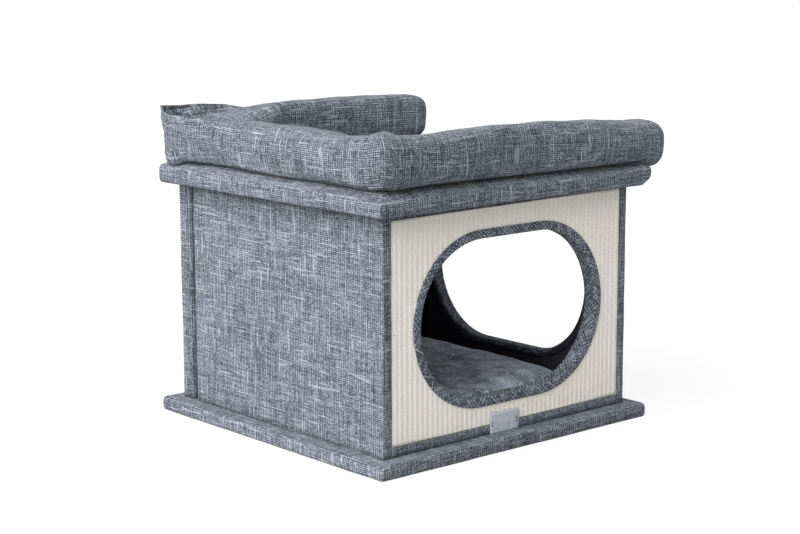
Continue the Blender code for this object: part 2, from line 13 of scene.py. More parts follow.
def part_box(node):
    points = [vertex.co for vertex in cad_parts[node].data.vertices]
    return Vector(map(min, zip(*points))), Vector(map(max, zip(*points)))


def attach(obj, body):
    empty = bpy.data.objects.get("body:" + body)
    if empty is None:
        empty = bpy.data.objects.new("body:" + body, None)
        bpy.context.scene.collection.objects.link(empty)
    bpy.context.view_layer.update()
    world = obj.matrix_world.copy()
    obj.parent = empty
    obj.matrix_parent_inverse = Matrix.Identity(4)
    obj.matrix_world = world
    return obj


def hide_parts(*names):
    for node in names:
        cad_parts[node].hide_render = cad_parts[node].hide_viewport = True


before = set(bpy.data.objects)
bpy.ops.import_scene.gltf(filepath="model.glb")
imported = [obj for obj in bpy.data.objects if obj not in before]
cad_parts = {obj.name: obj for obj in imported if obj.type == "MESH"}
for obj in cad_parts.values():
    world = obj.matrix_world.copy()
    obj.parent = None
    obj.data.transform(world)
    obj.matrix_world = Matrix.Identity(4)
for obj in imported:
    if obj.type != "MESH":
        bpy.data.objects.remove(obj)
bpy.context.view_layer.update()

# Thicknesses
CLOTH = 0.0006
FELT = 0.0008
SISAL_CLOTH = 0.0016
GAP = 0.0003  # air between two pieces that touch

# Places read from the frame
BASE_HALF, _, BASE_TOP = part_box("base_cover")[1]
WALL_FOOT, WALL_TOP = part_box("front_board")[0].z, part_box("front_board")[1].z
BOX_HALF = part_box("front_border")[1].x
LID_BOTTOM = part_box("lid_cover")[0].z
LID_HALF, _, LID_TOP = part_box("lid_cover")[1]
BED_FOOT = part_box("bolster_left")[0].z
HOUSE_MIDDLE = Vector((0, 0, (BASE_TOP + LID_BOTTOM) / 2))
BOARD_HALF, _, BOARD_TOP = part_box("lid_board")[1]
FOAM_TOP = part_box("lid_foam")[1].z
SISAL_FACE = -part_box("sisal_panel")[0].y
FRONT_BOARD_OUT, FRONT_BOARD_IN = -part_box("front_board")[0].y, -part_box("front_board")[1].y
SIDE_BOARD_OUT, SIDE_BOARD_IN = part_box("right_board")[1].x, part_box("right_board")[0].x

# Doors
RIM_WIDTH = 0.0112
RIM_HEM = 0.0081  # width of the rim on the inside
RIM_LOW, RIM_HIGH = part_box("front_rim")
DOOR_MIDDLE = (RIM_LOW.z + RIM_HIGH.z) / 2
DOOR_HALF_HEIGHT = (RIM_HIGH.z - RIM_LOW.z) / 2 - RIM_WIDTH
DOOR_STRAIGHT = (RIM_HIGH.x - RIM_LOW.x) / 2 - RIM_WIDTH - DOOR_HALF_HEIGHT
RIM_ROUND = DOOR_HALF_HEIGHT + RIM_WIDTH
DOOR_AREA = (RIM_HIGH.x - RIM_LOW.x) * 2 * RIM_ROUND - (4 - math.pi) * RIM_ROUND ** 2
UNDER_RIM = RIM_WIDTH - 0.002  # from the door to where cloth ends under its rim

# Bolsters
BOLSTER_OUT, BOLSTER_IN = -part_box("bolster_left")[0].x, -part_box("bolster_left")[1].x  # the two faces
BOLSTER_HALF = (BOLSTER_OUT - BOLSTER_IN) / 2
BOLSTER_AXIS = BOLSTER_OUT - BOLSTER_HALF
FRONT_ARM_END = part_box("bolster_front")[1].x
REAR_ARM_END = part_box("bolster_rear")[1].x


# Materials


def srgb(code):
    """Linear colour from an sRGB hex value."""
    parts = [int(code[i:i + 2], 16) / 255 for i in (0, 2, 4)]
    return (*[p / 12.92 if p <= 0.04045 else ((p + 0.055) / 1.055) ** 2.4 for p in parts], 1)


def add(tree, kind, *inputs, steps=(), **named):
    """Adds a shader node, with its open sockets fed in order or by capitalised name.

    Other names are settings, and steps are a colour ramp's (position, hex colour) pairs. A node given as a
    value feeds its first open output.
    """
    node = tree.nodes.new("ShaderNode" + kind)
    for name, value in named.items():
        if name.islower():
            setattr(node, name, value)
    for _ in steps[2:]:
        node.color_ramp.elements.new(0.5)
    for number, (position, code) in enumerate(steps):
        node.color_ramp.elements[number].position = position
        node.color_ramp.elements[number].color = srgb(code)
    fed = list(zip([socket for socket in node.inputs if socket.enabled], inputs))
    fed += [(node.inputs[name], value) for name, value in named.items() if not name.islower()]
    for socket, value in fed:
        if isinstance(value, bpy.types.Node):
            value = next(output for output in value.outputs if output.enabled)
        if isinstance(value, bpy.types.NodeSocket):
            tree.links.new(value, socket)
        else:
            socket.default_value = value
    return node


def new_material(name, roughness, metallic=0.0, sheen=0.0):
    """A Principled material whose plain values sit on the shader's own sockets."""
    material = bpy.data.materials.new(name)
    material.use_nodes = True
    shader = material.node_tree.nodes["Principled BSDF"]
    shader.inputs["Roughness"].default_value = roughness
    shader.inputs["Metallic"].default_value = metallic
    shader.inputs["Specular IOR Level"].default_value = 0.25
    shader.inputs["Sheen Weight"].default_value = sheen
    shader.inputs["Sheen Roughness"].default_value = 0.6
    return material, material.node_tree, shader


def surface(tree, shader, colour, relief, strength, depth):
    """Gives a shader its colour and its relief, which stands up by a depth."""
    bump = add(tree, "Bump", Strength=strength, Distance=depth, Height=relief)
    tree.links.new(next(output for output in colour.outputs if output.enabled), shader.inputs["Base Color"])
    tree.links.new(bump.outputs["Normal"], shader.inputs["Normal"])


def woven_linen(name, warp, weft, slub_from):
    """Plain-woven heathered polyester linen, dyed over uneven yarn: thin pale slubs run both ways in it.

    Warp and weft are the mm from yarn to yarn, and slubs show where their noise is above slub_from.
    """
    tone_run, slub_run = 44.0, 42.0  # mm over which a yarn keeps its tone, and that a slub runs on
    turnabout = 0.25  # share of a yarn's tone that goes pale and dark by turns
    heather = 0.20  # share of a spot's tone that is its own, and not the yarn's
    material, tree, shader = new_material(name, 0.93, sheen=0.05)
    place = add(tree, "Attribute", attribute_name="weave")
    uv = add(tree, "SeparateXYZ", place.outputs["Vector"])
    numbers, tones, slubs, waves = [], [], [], []
    for across, along, pitch, seed, body in ((0, 1, warp, 3.7, 0.045), (1, 0, weft, 41.3, 0.070)):
        lane = add(tree, "Math", uv.outputs[across], 1000 / pitch, operation="MULTIPLY")
        number = add(tree, "Math", lane, operation="FLOOR")
        turn = add(tree, "Math", lane, math.pi, operation="MULTIPLY")
        wave = add(tree, "Math", turn, operation="SINE")
        # noise that runs on along each yarn, starts at another place in each and differs from yarn to yarn
        apart = add(tree, "Math", number, 7.618, operation="MULTIPLY")
        late = add(tree, "Math", number, 0.713, operation="MULTIPLY")
        yarns = []
        for run, shift in ((tone_run, 0.0), (slub_run, 9.0)):
            on = add(tree, "Math", uv.outputs[along], 1000 / run, late, operation="MULTIPLY_ADD")
            where = add(tree, "CombineXYZ", apart, on, seed + shift)
            yarns.append(add(tree, "TexNoise", Vector=where, Scale=1.0, Detail=1.0))
        swell = add(tree, "Math", wave, operation="ABSOLUTE")
        slubs.append(add(tree, "Math", swell, body, yarns[1], operation="MULTIPLY_ADD"))
        turns = add(tree, "Math", number, 1.0, operation="PINGPONG")
        tones.append(add(tree, "Mix", turnabout, yarns[0], turns, data_type="FLOAT"))
        numbers.append(number)
        waves.append(wave)
    tone = add(tree, "Mix", 0.5, *tones, data_type="FLOAT")
    crossing = add(tree, "CombineXYZ", *numbers)
    fleck = add(tree, "TexWhiteNoise", Vector=crossing, noise_dimensions="2D")
    spot = add(tree, "Mix", heather, tone, fleck, data_type="FLOAT")
    shades = ((0.34, "292C35"), (0.5, "5A5F6B"), (0.67, "9DA2AE"))
    yarn = add(tree, "ValToRGB", spot, steps=shades)
    fatter = add(tree, "Math", *slubs, operation="MAXIMUM")
    shown = add(tree, "MapRange", fatter, slub_from, slub_from + 0.04, 0.0, 0.48)
    colour = add(tree, "Mix", shown, yarn, srgb("BDC2CC"), data_type="RGBA")
    crossed = add(tree, "Math", *waves, operation="MULTIPLY")
    raised = add(tree, "Math", crossed, operation="ABSOLUTE")
    height = add(tree, "Math", raised, shown, operation="ADD")
    surface(tree, shader, colour, height, strength=0.5, depth=0.0003)
    return material


def woven_sisal(name):
    """Undyed sisal rope cloth: upright ribs, each of two columns of yarn that slant like a herringbone, with
    painted light on the yarns' crests and painted shade between the yarns and in the grooves between the
    ribs.
    """
    rib = 7.9  # mm from rib to rib, as in the mesh
    yarn = 3.1  # mm from yarn to yarn up a rib
    material, tree, shader = new_material(name, 0.85)
    place = add(tree, "Attribute", attribute_name="weave").outputs["Vector"]
    uv = add(tree, "SeparateXYZ", place)
    across = add(tree, "Math", uv.outputs[0], 1000 / rib, operation="MULTIPLY")
    fold = add(tree, "Math", across, 0.5, operation="PINGPONG")
    rise = add(tree, "Math", uv.outputs[1], 1000 / yarn, operation="MULTIPLY")
    slant = add(tree, "Math", fold, 1.1, rise, operation="MULTIPLY_ADD")
    wobble = add(tree, "TexNoise", Vector=place, Scale=180.0, Detail=2.0)
    phase = add(tree, "Math", wobble, 0.35, slant, operation="MULTIPLY_ADD")
    turn = add(tree, "Math", phase, 2 * math.pi, operation="MULTIPLY")
    wave = add(tree, "Math", turn, operation="SINE")
    # painted light on each round yarn's crest and painted shade between the yarns, which also sets their
    # relief
    painted_yarn_shading = add(tree, "MapRange", wave, -1.0, 1.0)
    # painted shade in the groove at each rib's edge
    edge = add(tree, "MapRange", fold, 0.01, 0.18)
    fibre_run = add(tree, "VectorMath", place, (1500, 300, 1), operation="MULTIPLY")
    fibre = add(tree, "TexNoise", Vector=fibre_run, Scale=1.0, Detail=3.0)
    # the painted light and shade of the yarns and grooves, to which the fibre's own tone is added below
    light = add(tree, "Math", painted_yarn_shading, edge, operation="MULTIPLY")
    tone = add(tree, "Math", fibre, 0.35, light, operation="MULTIPLY_ADD")
    shades = ((0.05, "AAA092"), (0.18, "E8E0D3"), (0.42, "FFFAF1"), (0.8, "FFFEF8"))
    yarns = add(tree, "ValToRGB", tone, steps=shades)
    # a brown husk here and there, in one cell of fourteen
    speck = add(tree, "TexVoronoi", Vector=place, Scale=60.0)
    dot = add(tree, "Math", speck.outputs["Distance"], 0.06, operation="LESS_THAN")
    rare = add(tree, "SeparateColor", speck.outputs["Color"])
    picked = add(tree, "Math", rare.outputs[0], 0.93, operation="GREATER_THAN")
    husk = add(tree, "Math", dot, picked, operation="MULTIPLY")
    colour = add(tree, "Mix", husk, yarns, srgb("8A6A48"), data_type="RGBA")
    surface(tree, shader, colour, tone, strength=0.6, depth=0.0006)
    return material


def needled_felt(name, dark, pale):
    """Needle-punched polyester felt: matt, with short fibres lying every way."""
    material, tree, shader = new_material(name, 0.98)
    place = add(tree, "TexCoord").outputs["Object"]
    fibre = add(tree, "TexNoise", Vector=place, Scale=900.0, Detail=4.0)
    cloud = add(tree, "TexNoise", Vector=place, Scale=30.0, Detail=3.0)
    tone = add(tree, "Math", fibre, cloud, operation="MULTIPLY")
    colour = add(tree, "ValToRGB", tone, steps=((0.12, dark), (0.45, pale)))
    surface(tree, shader, colour, fibre, strength=0.4, depth=0.0004)
    return material


def brushed_plush(name, dark, middle, pale, hair):
    """Short-pile polyester plush, stroked this way and that in patches, with tips like fine hairs."""
    hair_width, hair_length = 1.5, 26.0  # mm, drawn as locks of hairs so that they show
    patches = 24.0  # to the metre
    material, tree, shader = new_material(name, 0.95, sheen=0.15)
    place = add(tree, "TexCoord").outputs["Object"]
    swirl = add(tree, "TexNoise", Vector=place, Scale=14.0, Detail=2.0)
    centred = add(tree, "VectorMath", swirl.outputs["Color"], (0.5, 0.5, 0.5), operation="SUBTRACT")
    lean = add(tree, "VectorMath", centred, 0.05, operation="SCALE")
    bent = add(tree, "VectorMath", place, lean, operation="ADD")
    hairs = []
    for shift in (0.0, 7.3):
        moved = add(tree, "VectorMath", bent, (shift, shift, 0), operation="ADD")
        patch = add(tree, "TexVoronoi", Vector=moved, Scale=patches, voronoi_dimensions="2D")
        chosen = add(tree, "SeparateColor", patch.outputs["Color"])
        angle = add(tree, "Math", chosen.outputs[0], 2 * math.pi, operation="MULTIPLY")
        turned = add(tree, "VectorRotate", Vector=bent, Angle=angle, rotation_type="Z_AXIS")
        finer = (1000 / hair_width, 1000 / hair_length, 0)
        drawn = add(tree, "VectorMath", turned, finer, operation="MULTIPLY")
        hairs.append(add(tree, "TexNoise", Vector=drawn, Scale=1.0, Detail=1.0))
    tips = add(tree, "Math", *hairs, operation="MAXIMUM")
    cloud = add(tree, "TexNoise", Vector=place, Scale=34.0, Detail=5.0)
    ground = add(tree, "ValToRGB", cloud, steps=((0.34, dark), (0.52, middle), (0.68, pale)))
    shown = add(tree, "MapRange", tips, 0.58, 0.70)
    colour = add(tree, "Mix", shown, ground, srgb(hair), data_type="RGBA")
    surface(tree, shader, colour, tips, strength=0.5, depth=0.0012)
    return material


def satin_woven_tape(name, low, high):
    """Damask label tape: fine upright ribs half a millimetre apart with a slight gloss."""
    material, tree, shader = new_material(name, 0.55, sheen=0.1)
    place = add(tree, "Attribute", attribute_name="weave").outputs["Vector"]
    ribs = add(tree, "VectorMath", place, (1900, 700, 1), operation="MULTIPLY")
    thread = add(tree, "TexNoise", Vector=ribs, Scale=1.0, Detail=2.0)
    cloud = add(tree, "TexNoise", Vector=place, Scale=160.0, Detail=2.0)
    tone = add(tree, "Mix", 0.5, thread, cloud, data_type="FLOAT")
    colour = add(tree, "ValToRGB", tone, steps=((0.35, low), (0.62, high)))
    surface(tree, shader, colour, thread, strength=0.4, depth=0.0002)
    return material


def flecked(name, scale, roughness, steps, stretch=(1, 1, 1), metallic=0.0, relief=0.0003):
    """A material of grains or cells of one size: scale is how many lie in a metre."""
    material, tree, shader = new_material(name, roughness, metallic)
    place = add(tree, "TexCoord").outputs["Object"]
    drawn = add(tree, "VectorMath", place, stretch, operation="MULTIPLY")
    grain = add(tree, "TexNoise", Vector=drawn, Scale=scale, Detail=4.0)
    colour = add(tree, "ValToRGB", grain, steps=steps)
    surface(tree, shader, colour, grain, strength=0.4, depth=relief)
    return material


# The linen's weave is drawn a little coarse, so that it shows
LINEN = woven_linen("heathered polyester linen", warp=1.7, weft=1.15, slub_from=0.71)
BINDING = woven_linen("bias-cut linen binding", warp=2.1, weft=2.1, slub_from=0.74)
SISAL = woven_sisal("woven sisal")
BLACK_FELT = needled_felt("black needle felt", "2B2A33", "504F5B")
SLATE_PLUSH = brushed_plush("slate plush", "616778", "949CAE", "C4CCDD", "F0F3FA")
PALE_PLUSH = brushed_plush("pale grey plush", "8D929B", "A9AEB6", "BEC2C9", "D8DBE0")
LABEL = satin_woven_tape("damask label tape", "A9AFBC", "CBD0DA")
THREAD = flecked("sewing thread", 4000, 0.8, ((0.4, "1B1D25"), (0.6, "343846")), relief=0.0001)
# Particle board: wood chips 1 to 3 mm long, pressed flat
CHIPS = ((0.35, "7E5C37"), (0.5, "B48F61"), (0.66, "D9BE93"))
CHIPBOARD = flecked("particle board", 600, 0.8, CHIPS, (1, 1, 2.5))
# Open-cell foam, cells near 0.5 mm
FOAM = flecked("polyurethane foam", 2000, 0.95, ((0.4, "CFC7A8"), (0.6, "EFE9D2")), relief=0.0005)
# Spunbond under the base, thermally dotted
UNDERCLOTH = flecked("spunbond undercloth", 900, 0.95, ((0.4, "0E0E12"), (0.62, "25262C")))
# Hook-and-loop tape, moulded hooks and napped loops near 0.6 mm apart
HOOK_TAPE = flecked("hook-and-loop tape", 1600, 0.8, ((0.42, "121318"), (0.6, "3A3D46")), relief=0.0008)
# Zinc-plated steel, its coat streaked along the wire it was drawn from
ZINC = ((0.3, "9A9CA0"), (0.7, "D4D6D8"))
ZINC_STEEL = flecked("zinc-plated steel", 300, 0.35, ZINC, (4, 4, 0.3), metallic=1.0, relief=0.00003)


# Shapes read off the photograph
CREASE = 0.0012  # radius to which a corner of cloth folds
TACK_LENGTH = 0.0026  # of the label's stitches
# Radii of the corners: rear right, rear left, front left, front right
BASE_CORNERS = (0.006, 0.007, 0.005, 0.006)
LID_CORNERS = (0.008, 0.015, 0.0035, 0.0018)
EDGE_REACH = 0.030  # over which the lid's edge swells or sinks
# Places along the lid's edges, and how far its padding stands above or below its flat top there
EDGE_LIFTS = {
    "left": (
        (-0.226, -0.0140), (-0.195, -0.0136), (-0.122, -0.0100), (-0.020, -0.0111), (0.098, -0.0068),
        (0.192, -0.0108), (0.226, -0.0085),
    ),
    "front": (
        (-0.226, -0.0140), (-0.211, -0.0137), (-0.135, -0.0092), (-0.040, -0.0098), (0.061, -0.0108),
        (0.150, -0.0105), (0.205, -0.0090), (0.226, -0.0068),
    ),
    "rear": ((-0.226, -0.0085), (-0.150, -0.0040), (0.100, -0.0030), (0.226, -0.0060)),
    "right": ((-0.226, -0.0068), (-0.160, -0.0050), (-0.110, -0.0010), (0.150, -0.0012), (0.226, -0.0060)),
}
HEM_SAG = 0.0018  # by which the lid's lower edge hangs
CHAMFER_LENGTH, CHAMFER_RISE = 0.013, 0.0095  # where the lid's lower edge climbs to its front right corner
ARMS = {  # where each arm of the bed starts, which way it runs and which way its outer face looks
    "rear": (Vector((REAR_ARM_END, BOLSTER_AXIS, BED_FOOT)), Vector((-1, 0, 0)), Vector((0, 1, 0))),
    "left": (Vector((-BOLSTER_AXIS, BOLSTER_AXIS, BED_FOOT)), Vector((0, -1, 0)), Vector((-1, 0, 0))),
    "front": (Vector((-BOLSTER_AXIS, -BOLSTER_AXIS, BED_FOOT)), Vector((1, 0, 0)), Vector((0, -1, 0))),
}
# Places along each arm, and how high it stands there
ARM_HEIGHTS = {
    "front": (
        (-0.190, 0.0650), (-0.165, 0.0590), (-0.120, 0.0558), (0.040, 0.0554), (0.110, 0.0530),
        (0.160, 0.0510), (0.210, 0.0508), (0.261, 0.0512),
    ),
    "left": (
        (-0.190, 0.0650), (-0.165, 0.0582), (-0.113, 0.0537), (0.045, 0.0540), (0.130, 0.0558),
        (0.168, 0.0585), (0.190, 0.0670),
    ),
    "rear": (
        (-0.190, 0.0670), (-0.160, 0.0652), (-0.120, 0.0632), (-0.050, 0.0620), (0.000, 0.0625),
        (0.100, 0.0648), (0.150, 0.0648), (0.200, 0.0590),
    ),
}
# By which an arm's outer top edge stands up, along it and at its corners
LEANS = {"rear": -0.0045, "left": 0.0030, "front": 0.0045}
CORNER_LEAN = 0.0037
LEAN_FROM, LEAN_RUN = 0.05, 0.09  # how far from a corner it starts to change, and over what run
END_DEPTHS = {"rear": 0.025, "front": 0.024}  # how far a free end bulges out of its seam
END_SWELL = 0.0130  # by which the front arm's stuffing pushes its end out
END_SAG, SAG_RUN = 0.0040, 0.020  # by which the front arm hangs beyond the lid, and over what run
LOOSE_FROM, LOOSE_RUN = 0.12, 0.12  # where the front arm's stuffing grows loose, and over what run
MITRE_RUN = 0.070  # over which an arm's rings turn to a corner's seam
EAR_SEAM = 0.030  # over which the rear corner's seam draws its arms in
EAR_DRAW_TOP, EAR_DRAW_FOOT = 0.14, 0.27  # share by which it draws them in
EAR_SQUARE, CREST_SQUARE = 38, 10  # how much squarer it pulls their sections, and their falling tops
EAR_FALL, EAR_REACH = 0.034, 0.125  # how far the top falls inwards at the rear corner, and over what run
CHEEK_DRAW, CHEEK_REACH = 0.17, 0.015  # how far the front corner's seam draws in between its two round cheeks
# The tucks at the front corner's foot
TUCK_LENGTH, TUCK_DEPTH, TUCK_WIDTH = 0.024, 0.0036, 0.0026
PUCKERS = {"rear_left": 0.0013, "front_left": 0.0004}  # how deep the cloth puckers beside each corner's seam
PUCKER_RUN = 0.020


# Meshes


def blend_in(share):
    """Eases from 0 to 1."""
    share = min(1.0, max(0.0, share))
    return share * share * (3 - 2 * share)


def outward(bm):
    """Turns a skin's faces away from the middle of the house."""
    bmesh.ops.recalc_face_normals(bm, faces=bm.faces)
    facing = 0.0
    for face in bm.faces:
        facing += face.calc_area() * face.normal.dot(face.calc_center_median() - HOUSE_MIDDLE)
    if facing < 0:
        bmesh.ops.reverse_faces(bm, faces=bm.faces)


def put(name, material, *skins):
    """Makes one smooth-shaded piece from skins, each facing outwards."""
    mesh = bpy.data.meshes.new(name)
    merged = bmesh.new()
    for bm in skins:
        outward(bm)
        bm.to_mesh(mesh)
        bm.free()
        merged.from_mesh(mesh)
    merged.to_mesh(mesh)
    merged.free()
    mesh.materials.append(material)
    mesh.shade_smooth()
    piece = bpy.data.objects.new(name, mesh)
    bpy.context.scene.collection.objects.link(piece)
    return piece


def skin(rows, closed=False, first_cap=False, last_cap=False):
    """Quads over rows of points: closed joins each row's end to its start, and caps fill the end rows."""
    bm = bmesh.new()
    grid = [[bm.verts.new(point) for point in row] for row in rows]
    span = len(grid[0]) if closed else len(grid[0]) - 1
    for low, high in zip(grid, grid[1:]):
        for i in range(span):
            j = (i + 1) % len(low)
            bm.faces.new((low[i], low[j], high[j], high[i]))
    if first_cap:
        bm.faces.new(grid[0])
    if last_cap:
        bm.faces.new(grid[-1])
    return bm


def ripple(piece, depth, length, seed):
    """Moves a mesh in and out along its normals by smooth noise of a depth and a wavelength."""
    mesh = piece.data
    moved = [
        v.co + v.normal * depth * noise.noise(v.co / length + Vector((seed, seed * 0.7, seed * 1.3)))
        for v in mesh.vertices
    ]
    for v, co in zip(mesh.vertices, moved):
        v.co = co


def lay_cloth(piece, seed):
    """Lays the weave flat on whichever side each face looks to, in metres, so that threads run straight."""
    mesh = piece.data
    laid = mesh.attributes.new("weave", "FLOAT_VECTOR", "CORNER")
    for face in mesh.polygons:
        side = max(range(3), key=lambda k: abs(face.normal[k]))
        first, second = ((1, 2), (0, 2), (0, 1))[side]
        shift = seed + 0.37 * side + (0.11 if face.normal[side] > 0 else 0)
        for loop in face.loop_indices:
            p = mesh.vertices[mesh.loops[loop].vertex_index].co
            laid.data[loop].vector = (p[first] + shift, p[second] + shift, 0)


def arc(middle, radius, start, stop, steps):
    """Points round an arc in a plane, in degrees."""
    angles = [math.radians(start + (stop - start) * k / steps) for k in range(steps + 1)]
    return [(middle[0] + radius * math.cos(a), middle[1] + radius * math.sin(a)) for a in angles]


def soften(piece):
    """Rounds a padded piece between its facets."""
    finer = piece.modifiers.new("smooth", "SUBSURF")
    finer.levels = finer.render_levels = 1


def assign(piece, body, slot, *replaced):
    """Hides the CAD nodes that a piece stands for and hangs the piece on its body; slot is not used."""
    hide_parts(*replaced)
    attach(piece, body)


def stretch_cloth(piece, node, slot, flat, rests_on, thickness=CLOTH, **more):
    """Makes a skin into cloth of a thickness, grown inwards, in the house; what it rests on is not used."""
    solid = piece.modifiers.new("cloth", "SOLIDIFY")
    solid.thickness = thickness
    solid.offset = -1  # inwards
    assign(piece, "house", slot, node)


# Boards wrapped in cloth


def square_ring(half, corners, z, corner_steps=6, side_steps=44):
    """A level square ring with a radius for each corner: rear right, rear left, front left, front right."""
    points = []
    for quarter, ((sx, sy), radius) in enumerate(zip(((1, 1), (-1, 1), (-1, -1), (1, -1)), corners)):
        middle = (sx * (half - radius), sy * (half - radius))
        points += arc(middle, radius, quarter * 90, quarter * 90 + 90, corner_steps)
    ring = []
    for i, point in enumerate(points):
        ring.append(Vector((*point, z)))
        if i % (corner_steps + 1) == corner_steps:
            following = Vector((*points[(i + 1) % len(points)], z))
            ring += [ring[-1].lerp(following, k / side_steps) for k in range(1, side_steps)]
    return ring


def square_skin(profile, corners, closed=False):
    """A skin through square rings, given as (half width, z); corners sharpen as the rings draw in."""
    widest = max(half for half, _ in profile)
    rings = []
    for half, z in profile:
        rings.append(square_ring(half, [max(CREASE, radius - (widest - half)) for radius in corners], z))
    return skin(rings, closed=True, first_cap=closed, last_cap=True)


def slab_profile(half, bottom, top, mouth, low_round, high_round, bulge):
    """How cloth goes round a board's edge: in from its hem, up the padded side and in again over the top."""
    profile = [(mouth + (half - low_round - mouth) * k / 4, bottom) for k in range(4)]
    profile += arc((half - low_round, bottom + low_round), low_round, -90, 0, 5)
    side = top - bottom - low_round - high_round
    for k in range(1, 6):
        share = k / 6
        profile.append((half + bulge * math.sin(math.pi * share), bottom + low_round + side * share))
    profile += arc((half - high_round, top - high_round), high_round, 0, 90, 6)
    insets = (0.004, 0.009, 0.015, 0.023, 0.035, 0.06, 0.1)
    return profile + [(half - high_round - inset, top) for inset in insets]


def along_edge(places, along):
    """A height read off along an edge, eased between its places."""
    along = min(max(along, places[0][0]), places[-1][0])
    for (a, low), (b, high) in zip(places, places[1:]):
        if along <= b:
            return low + (high - low) * blend_in((along - a) / (b - a))
    return places[-1][1]


def edge_lift(x, y):
    """How far the lid's padded edge swells up, or sinks, between it and the bed."""
    side = max(("left", -x), ("front", -y), ("rear", y), ("right", x), key=lambda pair: pair[1])
    lift = along_edge(EDGE_LIFTS[side[0]], y if side[0] in ("left", "right") else x)
    return lift * blend_in(1 - (LID_HALF - side[1]) / EDGE_REACH)


def swell_lid(piece):
    """Pads a lid piece out unevenly, as foam under pulled cloth."""
    hem_height, chamfer_height = 0.016, 0.022
    hem_waver, side_waver = 0.0007, 0.0009
    for v in piece.data.vertices:
        x, y, z = v.co
        reach = max(abs(x), abs(y))
        # shares in which a point belongs to the lower edge, to the top and to the sides
        low = blend_in(1 - (z - LID_BOTTOM) / hem_height)
        high = blend_in((z - LID_BOTTOM - 0.006) / (LID_TOP - LID_BOTTOM - 0.010))
        rim = blend_in((reach - LID_HALF + 0.010) / 0.008)
        waver = noise.noise(Vector((x, y, z)) / 0.05 + Vector((8.3, 1.7, 4.9)))
        v.co.z += edge_lift(x, y) * high + (hem_waver * waver - HEM_SAG) * low * rim
        v.co.x += math.copysign(side_waver * waver * rim, x) if abs(x) == reach else 0
        v.co.y += math.copysign(side_waver * waver * rim, y) if abs(y) == reach else 0
        slope = min(1.0, max(0.0, (x - LID_HALF + CHAMFER_LENGTH) / CHAMFER_LENGTH))
        front = min(1.0, max(0.0, (-y - BOARD_HALF - GAP) / (LID_HALF - BOARD_HALF - GAP)))
        v.co.z += CHAMFER_RISE * slope * front * max(0.0, 1 - (z - LID_BOTTOM) / chamfer_height)
    piece.data.update()
    return piece


def make_base():
    """The base's cloth, pulled round its board and flat underneath."""
    mouth = BASE_HALF - 0.030
    profile = slab_profile(BASE_HALF, 0.0, BASE_TOP, mouth, low_round=0.0035, high_round=0.0045, bulge=0.0003)
    piece = put("base_wrap", LINEN, square_skin(profile, BASE_CORNERS))
    ripple(piece, depth=0.0005, length=0.05, seed=3.1)
    for v in piece.data.vertices:
        v.co.z = max(v.co.z, 0.0)
    lay_cloth(piece, 0.0)
    stretch_cloth(piece, "base_cover", "linen", (0.54, 0.54), ["base_board"])


def make_lid():
    """The lid's cloth, and under it the foam that rounds the board's edge, both swollen alike."""
    mouth = LID_HALF - 0.0375
    rounds = {"low_round": 0.0038, "high_round": 0.0046, "bulge": 0.0004}
    profile = slab_profile(LID_HALF, LID_BOTTOM, LID_TOP, mouth, **rounds)
    wrap = swell_lid(put("lid_wrap", LINEN, square_skin(profile, LID_CORNERS)))
    lay_cloth(wrap, 1.3)
    stretch_cloth(wrap, "lid_cover", "linen", (0.58, 0.58), ["lid_padding", "lid_board"])
    under = CLOTH + GAP
    half, foot, top = BOARD_HALF + GAP, LID_BOTTOM + under, BOARD_TOP + GAP
    pocket = [(0.16, top), (half, top), (half, foot)]
    rounds = {"low_round": 0.0029, "high_round": 0.0037, "bulge": 0.0004}
    around = slab_profile(LID_HALF - under, foot, FOAM_TOP, half + 0.001, **rounds)
    corners = [max(CREASE, radius - under) for radius in LID_CORNERS]
    foam = swell_lid(put("lid_padding", FOAM, square_skin(pocket + around, corners, closed=True)))
    assign(foam, "house", "foam", "lid_foam")


# Walls


def wall_place(points, turn):
    """Turns points from a wall's own frame, seen from outside, to their place round the box."""
    return [Matrix.Rotation(turn, 3, "Z") @ point for point in points]


def door_span(x, grow):
    """Where the door, grown by a distance, starts and ends at an X of its wall, or None beside it."""
    reach = DOOR_HALF_HEIGHT + grow
    past = max(0.0, abs(x) - DOOR_STRAIGHT)
    if past >= reach:
        return None
    half = math.sqrt(reach * reach - past * past)
    return DOOR_MIDDLE - half, DOOR_MIDDLE + half


def upright_sheet(columns, foot, top, turn, grow=None, step=0.010):
    """A sheet that stands on a plan path of (x, y) points, with the door left out where grow is given."""
    bm = bmesh.new()
    low_steps = math.ceil((DOOR_MIDDLE - foot) / step)
    high_steps = math.ceil((top - DOOR_MIDDLE) / step)
    stacks = []
    for x, y in columns:
        span = door_span(x, grow) if grow is not None else None
        low, high = span or (DOOR_MIDDLE, DOOR_MIDDLE)
        lower = [Vector((x, y, foot + (low - foot) * k / low_steps)) for k in range(low_steps + 1)]
        upper = [Vector((x, y, high + (top - high) * k / high_steps)) for k in range(high_steps + 1)]
        lower = [bm.verts.new(p) for p in wall_place(lower, turn)]
        upper = [bm.verts.new(p) for p in wall_place(upper, turn)]
        if span is None:
            bm.verts.remove(upper[0])
            upper[0] = lower[-1]
        stacks.append((lower, upper))
    for first, second in zip(stacks, stacks[1:]):
        for a, b in zip(first, second):
            for k in range(len(a) - 1):
                corners = [a[k], b[k], b[k + 1], a[k + 1]]
                bm.faces.new(list(dict.fromkeys(corners)))
    return bm


def door_columns(grow, turn_steps=16):
    """The X places at which a door's round ends and straight run want a column."""
    reach = DOOR_HALF_HEIGHT + grow
    ends = [DOOR_STRAIGHT + reach * math.sin(math.pi / 2 * k / turn_steps) for k in range(turn_steps + 1)]
    straight = [DOOR_STRAIGHT * (2 * k / 10 - 1) for k in range(1, 10)]
    return sorted([-x for x in ends] + straight + ends)


def round_door(xs, grow):
    """X places for a wall's columns, with those that its grown door wants in place of the ones near it."""
    door = door_columns(grow)
    return [x for x in xs if x < door[0] - 0.002 or x > door[-1] + 0.002] + door


